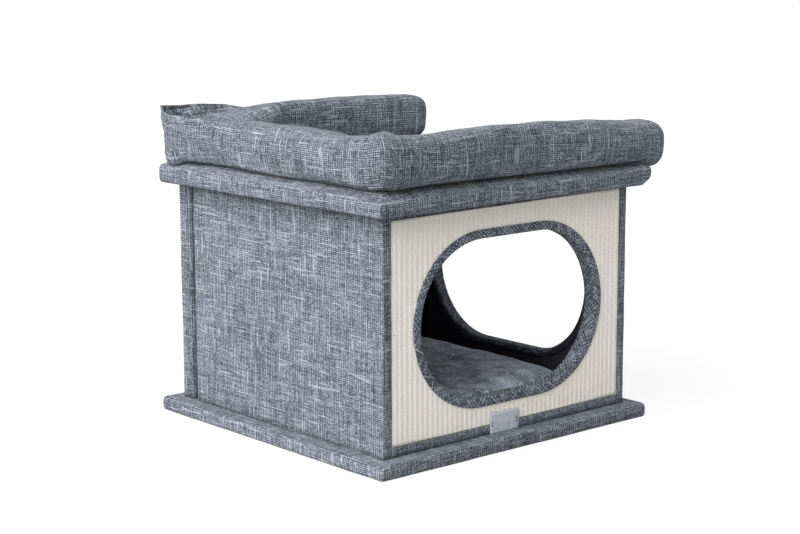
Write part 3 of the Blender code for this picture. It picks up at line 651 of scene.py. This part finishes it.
def wall_cloth(side, turn, edges, face, back, flat, grow=None, seed=0.0, hem=0.0, **more):
    """Cloth over a wall board: its face, with a rounded fold down each upright edge."""
    x0, x1 = edges
    fold = 0.0022
    left = [(x0, -back)] + arc((x0 + fold, -face + fold), fold, 180, 270, 5)
    right = arc((x1 - fold, -face + fold), fold, 270, 360, 5) + [(x1, -back)]
    xs = [x0 + fold + (x1 - x0 - 2 * fold) * k / 36 for k in range(1, 36)]
    if grow is not None:
        xs = round_door(xs, grow)
    if hem:
        left, right = [(x0 + hem, -back)] + left, right + [(x1 - hem, -back)]
    columns = left + [(x, -face) for x in sorted(xs)] + right
    piece = put(side + "_wall_cloth", LINEN, upright_sheet(columns, WALL_FOOT, WALL_TOP, turn, grow))
    ripple(piece, depth=0.0005, length=0.06, seed=seed)
    lay_cloth(piece, seed)
    stretch_cloth(piece, side + "_cover", "linen", flat, [side + "_board"], **more)


def make_walls():
    """Cloth on the left, right and rear walls, and the gussets deep in the grooves between them."""
    height = WALL_TOP - WALL_FOOT
    side_fold, rear_fold = 0.024, 0.074  # cloth that goes round the edges, both sides together
    inside = SIDE_BOARD_IN + GAP
    low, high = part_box("left_cover")
    flat = (high.y - low.y + side_fold, height)
    wall_cloth("left", -math.pi / 2, (-high.y, -low.y), -low.x, inside, flat, seed=2.4)
    low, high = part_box("right_cover")
    flat = (high.y - low.y + side_fold, height)
    area = flat[0] * flat[1] - DOOR_AREA
    place = (math.pi / 2, (low.y, high.y), high.x, inside)
    wall_cloth("right", *place, flat, grow=UNDER_RIM, seed=5.9, area=area)
    low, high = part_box("rear_cover")
    flat = (high.x - low.x + rear_fold, height)
    wall_cloth("rear", math.pi, (low.x, high.x), high.y, low.y, flat, seed=7.7, hem=0.0175)
    for side, turn in (("left", -math.pi / 2), ("right", math.pi / 2)):
        low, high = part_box(side + "_gusset")
        face = max(abs(low.x), abs(high.x))
        start, stop = (-high.y, -low.y) if side == "left" else (low.y, high.y)
        columns = []
        for k in range(9):
            share = k / 8
            columns.append((start + (stop - start) * share, -face + 0.0016 * math.sin(math.pi * share)))
        piece = put(side + "_gusset_cloth", LINEN, upright_sheet(columns, WALL_FOOT, WALL_TOP, turn))
        lay_cloth(piece, 3.3)
        stretch_cloth(piece, side + "_gusset", "linen", (0.012, height), [side + "_board", "rear_board"])


def door_loop(grow, drop, depth, turn, steps=32):
    """Points round a door, grown by a distance, lowered at its foot and at a depth in its wall."""
    radius = DOOR_HALF_HEIGHT + grow
    points = []
    for side in (1, -1):
        for k in range(steps + 1):
            angle = side * math.pi / 2 - math.pi * k / steps
            x = side * DOOR_STRAIGHT + radius * math.cos(angle)
            z = DOOR_MIDDLE + radius * math.sin(angle) - drop * min(0.0, math.sin(angle)) ** 6
            points.append(Vector((x, -depth, z)))
    return wall_place(points, turn)


def felt_piece(name, skins, node, flat, area, rests_on):
    """A piece of felt in skins; what it rests on is not used."""
    piece = put(name, BLACK_FELT, *skins)
    stretch_cloth(piece, node, "black_felt", flat, rests_on, FELT, area=area)


def make_linings():
    """Black felt glued to the inside of the boards, and over the hems of the doors' rims."""
    height = WALL_TOP - WALL_FOOT
    for side, turn in (("front", 0), ("right", math.pi / 2), ("rear", math.pi), ("left", -math.pi / 2)):
        low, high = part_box(side + "_lining")
        flip = Matrix.Rotation(-turn, 3, "Z")
        a, b = flip @ low, flip @ high
        x0, x1 = sorted((a.x, b.x))
        outer = min(a.y, b.y)
        has_door = side in ("front", "right")
        grow = RIM_HEM - 0.0015 if has_door else None
        xs = [x0 + (x1 - x0) * k / 24 for k in range(25)]
        if has_door:
            xs = round_door(xs, grow)
        skins = [upright_sheet([(x, outer) for x in sorted(xs)], WALL_FOOT, WALL_TOP, turn, grow, 0.012)]
        area = (x1 - x0) * height
        if has_door:
            area -= DOOR_AREA
            over = -outer - 0.0026
            hem = ((0.0016, 0.0040, over), (RIM_HEM + 0.0004, 0, over), (RIM_HEM + 0.0018, 0, over + 0.0014))
            skins.append(skin([door_loop(*place, turn) for place in hem], closed=True))
        felt_piece(side + "_felt", skins, side + "_lining", (x1 - x0, height), area, [side + "_board"])
    for level, rests_on, up in (("floor", "base_cover", True), ("ceiling", "lid_board", False)):
        low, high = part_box(level + "_lining")
        z = low.z if up else high.z
        width, depth = high.x - low.x, high.y - low.y
        rows = []
        for j in range(31):
            rows.append([Vector((low.x + width * i / 30, low.y + depth * j / 30, z)) for i in range(31)])
        flat = (width, depth)
        felt_piece(level + "_felt", [skin(rows)], level + "_lining", flat, width * depth, [rests_on])


def make_sisal():
    """Ribbed sisal cloth, its ribs 7.9 mm apart, tucked under the border and the rim."""
    low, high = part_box("sisal_panel")
    rib, steps, groove = 0.0079, 6, 0.0007
    count = math.ceil((high.x - low.x) / rib * steps)
    xs = [low.x + (high.x - low.x) * k / count for k in range(count + 1)]
    tip = DOOR_STRAIGHT + DOOR_HALF_HEIGHT + UNDER_RIM  # where the door's opening in the sisal ends
    xs = sorted([x for x in xs if min(abs(x - tip), abs(x + tip)) > 0.0004] + [-tip, tip])
    columns = []
    for x in xs:
        share = abs(math.sin(math.pi * x / rib))
        columns.append((x, -SISAL_FACE + groove * (1 - share ** 0.6)))
    piece = put("sisal_cloth", SISAL, upright_sheet(columns, low.z, high.z, 0, grow=UNDER_RIM, step=0.0045))
    for v in piece.data.vertices:
        # its top edge stops short of the lid, at the left more than at the right
        short = 0.0090 - 0.0036 * (v.co.x - low.x) / (high.x - low.x)
        v.co.z -= short * max(0.0, (v.co.z - RIM_HIGH.z) / (high.z - RIM_HIGH.z))
    ripple(piece, depth=0.0003, length=0.02, seed=4.4)
    lay_cloth(piece, 0.0)
    flat = (high.x - low.x, high.z - low.z)
    area = flat[0] * flat[1] - DOOR_AREA
    stretch_cloth(piece, "sisal_panel", "sisal", flat, ["front_board"], SISAL_CLOTH, area=area)


def make_border():
    """Cloth edging round the sisal: strips folded round the corners, a roll at the foot, a strip on top."""
    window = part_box("sisal_panel")[1].x + GAP
    back = FRONT_BOARD_IN + GAP
    proud, fold, lip = 0.0004, 0.0018, 0.0010
    strips = []
    for hand in (-1, 1):
        corner = arc((BOX_HALF - fold, -BOX_HALF + fold), fold, 0, -90, 6)
        face = [(window + (BOX_HALF - fold - window) * (1 - k / 8), k / 8) for k in range(1, 8)]
        path = [(BOX_HALF, -back)] + corner
        path += [(x, -BOX_HALF - proud * math.sin(math.pi * t)) for x, t in face]
        path += arc((window + lip, -BOX_HALF + lip), lip, -90, -180, 3)
        path += [(window, -FRONT_BOARD_OUT - GAP)]
        path = [(hand * x, y) for x, y in path]
        strips.append(upright_sheet(path if hand < 0 else path[::-1], WALL_FOOT, WALL_TOP, 0))
    start = WALL_FOOT + 0.0004
    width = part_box("sisal_panel")[0].z - GAP - start
    depth = BOX_HALF - FRONT_BOARD_OUT
    profile = [(-FRONT_BOARD_OUT - GAP, start)]
    for k in range(11):  # rounder below its middle than above
        a = math.radians(-90 + 180 * k / 10)
        y = -FRONT_BOARD_OUT - GAP - depth * abs(math.cos(a)) ** (0.95 if a < 0 else 0.45)
        profile.append((y, start + width * (0.5 + 0.5 * math.sin(a))))
    xs = [-window - 0.001 + (2 * window + 0.002) * k / 60 for k in range(61)]
    foot = skin([[Vector((x, y, z)) for y, z in profile] for x in xs])
    behind = -FRONT_BOARD_OUT - GAP - CLOTH
    under_lid = skin([[Vector((x, behind, z)) for z in (WALL_TOP - 0.010, WALL_TOP)] for x in xs])
    piece = put("front_edging", LINEN, *strips, foot, under_lid)
    ripple(piece, depth=0.0004, length=0.03, seed=6.6)
    lay_cloth(piece, 2.4)
    stretch_cloth(piece, "front_border", "linen", (0.029, 0.957), ["front_board"])


def make_rim(name, node, turn, face, board_out, board_in, seed):
    """Padded bias binding round a door's edge, from the outer face through to the inside."""
    inner = board_in - GAP
    outer = face + 0.0019
    back = inner - 0.0020
    lip = -0.0002  # where the padding swells into the door
    hem = RIM_HEM
    bias = 0.7071  # half a right angle's cosine, for threads that run slantwise
    cage = [  # round the rim's section: how far out from the door, and how far from the middle of the box
        (RIM_WIDTH, face - 0.0004), (RIM_WIDTH, outer - 0.0006), (RIM_WIDTH * 0.88, outer),
        (RIM_WIDTH * 0.5, outer + 0.0003), (RIM_WIDTH * 0.14, outer), (lip, outer - 0.0008),
        (lip, outer - 0.0040), (lip, (outer + back) / 2), (lip, back + 0.0040), (lip, back + 0.0012),
        (hem * 0.2, back + 0.0002), (hem * 0.55, back), (hem * 0.9, back + 0.0002),
        (hem, back + 0.0008), (hem, inner + 0.0002),
        (0.0016, inner + 0.0002), (0.0012, inner + 0.0012), (0.0012, board_out - 0.0012),
        (0.0016, board_out + GAP), (RIM_WIDTH * 0.9, board_out + GAP),
    ]
    around = [0.0]
    for (a, b), (c, d) in zip(cage, cage[1:] + cage[:1]):
        around.append(around[-1] + math.hypot(c - a, d - b))
    stations = []
    along = 0.0
    turn_steps, run_steps = 40, 20
    for side in (1, -1):
        for k in range(turn_steps + 1):
            stations.append((side * DOOR_STRAIGHT, side * math.pi / 2 - math.pi * k / turn_steps, along))
            along += math.pi * (DOOR_HALF_HEIGHT + RIM_WIDTH / 2) / turn_steps if k < turn_steps else 0.0
        for k in range(1, run_steps):
            share = 1 - 2 * k / run_steps
            along += 2 * DOOR_STRAIGHT / run_steps
            stations.append((side * share * DOOR_STRAIGHT, -side * math.pi / 2, along))
        along += 2 * DOOR_STRAIGHT / run_steps
    rows = []
    for x, angle, _ in stations:
        row = []
        for grow, depth in cage:
            radius = DOOR_HALF_HEIGHT + grow
            row.append(Vector((x + radius * math.cos(angle), -depth, DOOR_MIDDLE + radius * math.sin(angle))))
        rows.append(wall_place(row, turn))
    bm = bmesh.new()
    weave = bm.loops.layers.float_vector.new("weave")
    grid = [[bm.verts.new(point) for point in row] for row in rows]
    for i in range(len(grid)):
        j = (i + 1) % len(grid)
        start, stop = stations[i][2], stations[j][2] if j else along
        for k in range(len(cage)):
            m = (k + 1) % len(cage)
            made = bm.faces.new((grid[i][k], grid[i][m], grid[j][m], grid[j][k]))
            for loop, (u, v) in zip(
                made.loops,
                ((start, around[k]), (start, around[k + 1]), (stop, around[k + 1]), (stop, around[k])),
            ):
                loop[weave] = Vector(((u + v) * bias + seed, (u - v) * bias + seed, 0))
    piece = put(name, BINDING, bm)
    soften(piece)
    assign(piece, "house", "bias_binding", node)


def tack(start):
    """One upright stitch of thread, bowed out of the cloth."""
    bow, thin, fatter = 0.0004, 0.00035, 0.0002
    rings = []
    for k in range(7):
        share = k / 6
        centre = start + Vector((0, -bow * math.sin(math.pi * share), TACK_LENGTH * share))
        width = thin + fatter * math.sin(math.pi * share)
        turns = [2 * math.pi * n / 8 for n in range(8)]
        rings.append([centre + Vector((width * math.cos(a), width * math.sin(a), 0)) for a in turns])
    return skin(rings, closed=True, first_cap=True, last_cap=True)


def make_label():
    """Bare damask label, tacked at its two ends."""
    low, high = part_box("patch")
    middle = (low + high) / 2
    half_x, half_z, corner = (high.x - low.x) / 2, (high.z - low.z) / 2, 0.0012
    rows = []
    for j in range(13):
        z = -half_z + 2 * half_z * j / 12
        cut = corner if j in (0, 12) else 0.0
        row = []
        for i in range(21):
            x = (-half_x + cut) + 2 * (half_x - cut) * i / 20
            bow = 0.0007 * math.cos(math.pi * x / (2 * half_x)) * (0.5 + 0.5 * j / 12)
            row.append(Vector((middle.x + x, high.y - bow - 0.0008, middle.z + z)))
        rows.append(row)
    piece = put("label", LABEL, skin(rows))
    lay_cloth(piece, 0.5)
    stitches = []
    for x, spread in ((half_x - 0.0050, 0.0020), (0.0020 - half_x, 0.0018)):  # two stitches at each end
        for z in (spread, -spread):
            foot = middle.z + z - TACK_LENGTH / 2
            stitches.append(tack(Vector((middle.x + x, high.y - 0.0019, foot))))
    tacks = put("label_stitches", THREAD, *stitches)
    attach(tacks, "house")
    flat, under = (0.048, 0.0264), ["sisal_cloth", "front_edging"]
    stretch_cloth(piece, "patch", "woven_patch", flat, under, with_pieces=[tacks])


# Stuffed pieces


def inflate(piece, pinned, pressure, slack, cap, frames=20):
    """Stuffs a closed skin, cut a little slack, round its pinned points and no further than the cap."""
    mesh = piece.data
    before = [v.co.copy() for v in mesh.vertices]
    held = piece.vertex_groups.new(name="seams")
    held.add(pinned, 1.0, "REPLACE")
    cloth = piece.modifiers.new("stuffing", "CLOTH")
    settings = cloth.settings
    settings.use_pressure = True
    settings.uniform_pressure_force = pressure
    settings.effector_weights.gravity = 0
    settings.vertex_group_mass = "seams"
    settings.shrink_min = -slack
    settings.tension_stiffness = 20
    settings.compression_stiffness = 8
    settings.bending_stiffness = 0.3
    settings.mass = 0.25
    cloth.collision_settings.use_collision = False
    scene = bpy.context.scene
    for number in range(1, frames + 1):
        scene.frame_set(number)
    evaluated = piece.evaluated_get(bpy.context.evaluated_depsgraph_get())
    after = [v.co.copy() for v in evaluated.data.vertices]
    piece.modifiers.remove(cloth)
    for v, start, stop in zip(mesh.vertices, before, after):
        moved = stop - start
        if moved.length > cap:
            moved *= cap / moved.length
        v.co = start + moved
    piece.vertex_groups.clear()
    mesh.update()
    scene.frame_set(1)


def square_place(share):
    """A point on the edge of a square of half width 1, a share of the way round from its foot's middle."""
    side, along = divmod((8 * share + 1) % 8, 2)
    along -= 1
    return ((along, -1), (1, along), (-along, 1), (-1, -along))[int(side)]


def arm_length(arm):
    """From an arm's start to its free end, or to the far corner."""
    ends = {"rear": REAR_ARM_END, "left": BOLSTER_AXIS, "front": FRONT_ARM_END + END_SWELL}
    return ends[arm] + BOLSTER_AXIS


def arm_stations():
    """Where the bed's arms have their rings: (arm, distance along it, share of the full section there)."""
    step, corner_step, corner_run = 0.0042, 0.0024, 0.030
    blunt = 0.95  # rounds a free end, where 1 is an ellipse and less is blunter
    turns = [math.radians(4 + 86 * k / 9) for k in range(9)]
    caps = [(1 - math.cos(a) ** blunt, math.sin(a) ** blunt) for a in turns]
    stations = []
    for arm in ARMS:
        length = arm_length(arm)
        start_cap = END_DEPTHS["rear"] if arm == "rear" else 0.0
        end_cap = END_DEPTHS["front"] if arm == "front" else 0.0
        if start_cap:
            stations += [(arm, start_cap * depth, share) for depth, share in caps]
        d, stop = start_cap, length - end_cap
        places = [d] if start_cap else []  # a mitre's ring belongs to both its arms
        while d < stop - 0.001:
            mitre = min(1.0 if start_cap else d, 1.0 if end_cap else stop - d)
            d = min(stop, d + (corner_step if mitre < corner_run else step))
            places.append(d)
        stations += [(arm, place, 1.0) for place in places]
        if end_cap:
            stations += [(arm, length - end_cap * depth, share) for depth, share in caps[::-1]]
    return stations


def arm_ring(arm, d, share, sides):
    """One ring of the bed's arms, mitred towards the near corner, with that corner and its seam's distance.

    The second list has the ring's points as they lie before the seam draws them in, which the weave follows.
    """
    start, forward, out = ARMS[arm]
    length = arm_length(arm)
    before = {"rear": None, "left": "rear_left", "front": "front_left"}[arm]
    after = {"rear": "rear_left", "left": "front_left", "front": None}[arm]
    centre = start + forward * d
    along = centre.y if arm == "left" else centre.x
    height = along_edge(ARM_HEIGHTS[arm], along)
    slant, seam, corner = 0.0, 9.0, None
    if before:
        slant -= max(0.0, 1 - d / MITRE_RUN)
        seam, corner = d, before
    if after:
        slant += max(0.0, 1 - (length - d) / MITRE_RUN)
        if length - d < seam:
            seam, corner = length - d, after
    sharp, fall, cheek, loose, sag = 0.0, 0.0, 0.0, 0.0, 0.0
    if corner == "rear_left":
        sharp = max(0.0, 1 - seam / EAR_SEAM) ** 2
        fall = EAR_FALL * max(0.0, 1 - seam / EAR_REACH) ** 1.2
    if corner == "front_left":  # a round cheek, of which 0.85 of the radius is used
        cheek = max(0.0, 1 - seam / CHEEK_REACH)
        cheek = (1 - math.sqrt(1 - (0.85 * cheek) ** 2)) / (1 - math.sqrt(1 - 0.85 ** 2))
    if arm == "front":
        loose = blend_in((centre.x - LOOSE_FROM) / LOOSE_RUN)
        sag = END_SAG * blend_in((centre.x - LID_HALF) / SAG_RUN)
    lean = CORNER_LEAN + (LEANS[arm] - CORNER_LEAN) * blend_in((seam - LEAN_FROM) / LEAN_RUN)
    # the lower a power, the rounder the section: the front arm's top grows rounder towards its free end
    top_power, foot_power = 3.4 - 0.9 * loose, 2.7 + 0.3 * loose
    tip = 0.47 * height  # where a round end comes to its tip
    bedded = 0.030  # up to which the arm follows the lid that it lies on
    ring, flat = [], []
    for k in range(sides):
        a, b = square_place(k / sides)
        power = (top_power if b > 0 else foot_power) + (EAR_SQUARE * sharp if a > 0 else 0.0)
        power += CREST_SQUARE * fall / EAR_FALL if a > 0 and b > 0 else 0.0
        reach = (abs(a) ** power + abs(b) ** power) ** (-1 / power)
        level = height / 2 * (1 + b * reach)
        if b > 0:
            level += lean * (1 - loose) * a * b - fall * (1 - ((1 + a) / 2) ** 9) * b
        level -= sag * max(0.0, 1 - level / height)
        level = tip + (level - tip) * share
        aside = a * reach
        flat.append(centre + (out + forward * slant) * aside * BOLSTER_HALF * share)
        if a > 0:
            draw = EAR_DRAW_FOOT + (EAR_DRAW_TOP - EAR_DRAW_FOOT) * min(1.0, level / height)
            aside *= 1 - sharp * draw - CHEEK_DRAW * cheek
        aside *= BOLSTER_HALF * share
        point = centre + out * aside + forward * slant * aside + Vector((0, 0, level))
        point.z += edge_lift(point.x, point.y) * max(0.0, 1 - level / bedded)
        ring.append(point)
    return ring, flat, seam, corner


def make_bolsters():
    """The bed's three stuffed arms, mitred and sewn together at the two left corners, with round ends."""
    sides = 64
    stations = arm_stations()
    made_rings = [arm_ring(*station, sides) for station in stations]
    rows, flats, seams, corners = zip(*made_rings)
    bm = bmesh.new()
    weave = bm.loops.layers.float_vector.new("weave")
    grid = [[bm.verts.new(point) for point in row] for row in rows]
    middle_row = rows[len(rows) // 2]
    girth = [0.0]
    for k in range(sides):
        girth.append(girth[-1] + (middle_row[(k + 1) % sides] - middle_row[k]).length)
    for r in range(len(grid) - 1):
        arm, _, share = stations[r + 1]
        _, forward, out = ARMS[arm]
        seed = {"rear": 0.4, "left": 1.9, "front": 3.1}[arm]
        capped = min(share, stations[r][2]) < 0.93  # the weave lies as seen from the end on a round end
        for k in range(sides):
            j = (k + 1) % sides
            face = bm.faces.new((grid[r][k], grid[r][j], grid[r + 1][j], grid[r + 1][k]))
            for loop, part, ring in zip(face.loops, (k, k + 1, k + 1, k), (r, r, r + 1, r + 1)):
                point = loop.vert.co
                along, around = flats[ring][part % sides].dot(forward), girth[part]
                if capped:
                    along, around = point.dot(out), point.z
                loop[weave] = Vector((along + seed, around + seed, 0))
    for end in (grid[0], grid[-1]):
        for loop in bm.faces.new(end).loops:
            loop[weave] = Vector((loop.vert.co.y + seed, loop.vert.co.z + seed, 0))
    piece = put("bolsters", LINEN, bm)
    mesh = piece.data
    pinned = []
    for r, (row, seam) in enumerate(zip(rows, seams)):
        for k, point in enumerate(row):
            if seam < 1e-6 or (point.z < BED_FOOT + 0.002 and point.x < LID_HALF):
                pinned.append(r * sides + k)
    inflate(piece, pinned, pressure=4.0, slack=0.05, cap=0.0026)
    lumps = []
    for r, (row, seam, corner) in enumerate(zip(rows, seams, corners)):
        pucker = PUCKERS[corner] * math.exp(-seam / PUCKER_RUN)
        for k, start in enumerate(row):
            v = mesh.vertices[r * sides + k]
            level = start.z - BED_FOOT
            # broad lumps of stuffing, small ones, and the puckers
            lump = 0.0014 * noise.noise(start / 0.045 + Vector((3, 7, 1)))
            lump += 0.0005 * noise.noise(start / 0.018)
            lump += pucker * noise.noise(Vector((start.x * 90, start.y * 90, start.z * 120)))
            if corner == "front_left":
                fold = 0.0095 * (1 - seam / TUCK_LENGTH) + 0.0005
                tuck = math.exp(-(((level - fold) / TUCK_WIDTH) ** 2))
                lump -= TUCK_DEPTH * tuck * blend_in(4 - 4 * seam / TUCK_LENGTH)
            lumps.append((v, v.normal * lump * blend_in((level - 0.001) / 0.004)))
    for v, move in lumps:
        v.co += move
    mesh.update()
    soften(piece)
    assign(piece, "bed", "linen", "bolster_front", "bolster_left", "bolster_rear")


def round_off(x, y, half_x, half_y, corner):
    """The scale that pulls a point of a rectangle's outline in to its rounded corner."""
    scale = 1.0
    if abs(x) > half_x - corner and abs(y) > half_y - corner:
        for _ in range(12):
            past_x = max(0, abs(x) * scale - half_x + corner)
            past_y = max(0, abs(y) * scale - half_y + corner)
            gone = math.hypot(past_x, past_y)
            scale *= 1 - (gone - corner) / max(half_x, half_y) if gone > corner else 1
    return scale


def pillow_skin(low, high, corner, seam_share, crown, draw_in, cells=56):
    """Two gridded faces joined at a seam: a flat foot and a crowned top, drawn in between the corners."""
    half_x, half_y = (high.x - low.x) / 2, (high.y - low.y) / 2
    middle = (low + high) / 2
    seam = low.z + (high.z - low.z) * seam_share
    bm = bmesh.new()
    tops, feet = [], []
    for j in range(cells + 1):
        top_row, foot_row = [], []
        for i in range(cells + 1):
            a, b = 2 * i / cells - 1, 2 * j / cells - 1
            reach = max(abs(a), abs(b)) or 1.0
            scale = round_off(a / reach * half_x, b / reach * half_y, half_x, half_y, corner)
            x = middle.x + a * half_x * scale * (1 - draw_in / half_x * (1 - b * b))
            y = middle.y + b * half_y * scale * (1 - draw_in / half_y * (1 - a * a))
            rim = (1 - a ** 8) * (1 - b ** 8)
            dome = (1 - crown) * rim ** 0.30 + crown * (1 - a * a) * (1 - b * b)
            top_row.append(Vector((x, y, seam + (high.z - seam) * dome)))
            foot_row.append(Vector((x, y, seam - (seam - low.z) * rim ** 0.35)))
        tops.append([bm.verts.new(point) for point in top_row])
        feet.append(foot_row)
    for j, row in enumerate(feet):
        for i, point in enumerate(row):
            at_edge = i in (0, cells) or j in (0, cells)
            row[i] = tops[j][i] if at_edge else bm.verts.new(point)
    for verts, order in ((tops, 1), (feet, -1)):
        for j in range(cells):
            for i in range(cells):
                ring = (verts[j][i], verts[j][i + 1], verts[j + 1][i + 1], verts[j + 1][i])
                bm.faces.new(ring[::order])
    return bm


def make_cushion():
    """Loose plush cushion, sat in: hollows where a cat lies, ridges between them."""
    low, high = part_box("cushion")
    low = low + Vector((0.003, 0.003, 0))  # its stuffing swells it from here
    high = high - Vector((0.003, 0.003, 0.002))
    shape = pillow_skin(low, high, corner=0.05, seam_share=0.42, crown=0.16, draw_in=0.005)
    piece = put("plush_cushion", SLATE_PLUSH, shape)
    mesh = piece.data
    floor = low.z
    pinned = [v.index for v in mesh.vertices if v.co.z < floor + 0.0006]
    inflate(piece, pinned, pressure=3.0, slack=0.03, cap=0.007)
    hollows = (  # x, y, size and depth
        (-0.120, -0.030, 0.060, 0.0075), (-0.015, -0.120, 0.055, 0.0070), (0.060, 0.020, 0.085, 0.0035),
        (-0.060, 0.110, 0.060, 0.0035), (0.120, -0.110, 0.045, 0.0030),
    )
    for v in mesh.vertices:
        x, y, z = v.co
        share = blend_in((z - floor - 0.010) / 0.020)
        sunk = 0.0
        for a, b, size, depth in hollows:
            sunk += depth * math.exp(-((x - a) ** 2 + (y - b) ** 2) / size ** 2)
        lumps = 0.0022 * noise.noise(Vector((x, y, 0)) / 0.035)
        lumps += 0.0009 * noise.noise(Vector((x, y, 3)) / 0.013)
        v.co.z += share * (lumps - sunk)
        v.co.z = min(max(v.co.z, floor), high.z + 0.006)
    mesh.update()
    soften(piece)
    assign(piece, "cushion", "slate_plush", "cushion")


def make_mat():
    """Thin plush mat that lines the bed between its arms."""
    low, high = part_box("bed_mat")
    shape = pillow_skin(low, high, corner=0.012, seam_share=0.30, crown=0.2, draw_in=0.0, cells=40)
    piece = put("plush_mat", PALE_PLUSH, shape)
    for v in piece.data.vertices:
        x, y, z = v.co
        if z > low.z + 0.002:
            v.co.z += noise.noise(Vector((x, y, 0)) / 0.03) * 0.0008
    piece.data.update()
    soften(piece)
    assign(piece, "bed", "pale_plush", "bed_mat")


def dress_cad_nodes():
    """Gives the carried CAD nodes their finishes."""
    finishes = {
        "board": CHIPBOARD, "undercloth": UNDERCLOTH, "foam": FOAM, "pad": HOOK_TAPE, "screw": ZINC_STEEL,
    }
    for name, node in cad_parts.items():
        for word, material in finishes.items():
            if word in name and not node.hide_render:
                node.data.materials.clear()
                node.data.materials.append(material)


# Camera, light and floor


def aim_camera():
    """The photograph's own viewpoint, as fitted to the corners of the box."""
    stand = (-1.508, -1.740, 0.602)
    yaw, pitch, roll = math.radians(40.88), math.radians(10.06), math.radians(-0.19)
    forward = Vector((math.sin(yaw) * math.cos(pitch), math.cos(yaw) * math.cos(pitch), -math.sin(pitch)))
    level = Vector((math.cos(yaw), -math.sin(yaw), 0))
    above = level.cross(forward)
    right = level * math.cos(roll) + above * math.sin(roll)
    up = above * math.cos(roll) - level * math.sin(roll)
    camera = bpy.data.objects.new("camera", bpy.data.cameras.new("camera"))
    camera.data.lens = 81.26
    camera.data.sensor_width = 36
    camera.data.clip_end = 50
    turn = Matrix((right, up, -forward)).transposed().to_4x4()
    camera.matrix_world = Matrix.Translation(stand) @ turn
    bpy.context.scene.collection.objects.link(camera)
    bpy.context.scene.camera = camera


def over_background(tree, lit, seen, output):
    """Shows one shader where the light falls, and another to the camera and to glossy surfaces."""
    path = add(tree, "LightPath")
    rays = [path.outputs["Is Camera Ray"], path.outputs["Is Glossy Ray"]]
    either = add(tree, "Math", *rays, operation="MAXIMUM")
    picked = add(tree, "MixShader", either, lit, seen)
    tree.links.new(picked.outputs[0], tree.nodes[output].inputs["Surface"])


def lay_floor():
    """Pale studio floor that keeps the object's shadow, and shows white where it is lit."""
    material, tree, shader = new_material("studio floor", 0.9)
    shader.inputs["Base Color"].default_value = srgb("B4B4B4")
    glow = add(tree, "Emission", Color=(1, 1, 1, 1), Strength=0.88)
    pale = add(tree, "BsdfDiffuse", Color=(0.13, 0.13, 0.13, 1))
    over_background(tree, shader.outputs[0], add(tree, "AddShader", glow, pale), "Material Output")
    bm = bmesh.new()
    bmesh.ops.create_circle(bm, cap_ends=True, radius=12, segments=64)
    floor = put("studio_floor", material, bm)
    floor.location.z = -0.0002


def light_studio():
    """Broad soft light from the left and above, and an even fill."""
    key = bpy.data.objects.new("key", bpy.data.lights.new("key", "SUN"))
    key.data.energy = 4.9
    key.data.angle = math.radians(60)
    key.rotation_mode = "QUATERNION"
    key.rotation_quaternion = Vector((-0.79, 0.0, 0.61)).to_track_quat("Z", "Y")
    bpy.context.scene.collection.objects.link(key)
    world = bpy.data.worlds.new("studio")
    world.use_nodes = True
    tree = world.node_tree
    fill = add(tree, "Background", Color=(1, 1, 1, 1), Strength=0.45)
    white = add(tree, "Background", Color=(1, 1, 1, 1), Strength=1.0)
    over_background(tree, fill, white, "World Output")
    bpy.context.scene.world = world
    bpy.context.scene.view_settings.view_transform = "Standard"


make_base()
make_lid()
make_walls()
make_linings()
make_sisal()
make_border()
make_rim("front_door_rim", "front_rim", 0, SISAL_FACE, FRONT_BOARD_OUT, FRONT_BOARD_IN, 0.9)
make_rim("right_door_rim", "right_rim", math.pi / 2, BOX_HALF, SIDE_BOARD_OUT, SIDE_BOARD_IN, 2.1)
make_label()
make_bolsters()
make_cushion()
make_mat()
dress_cad_nodes()
aim_camera()
lay_floor()
light_studio()
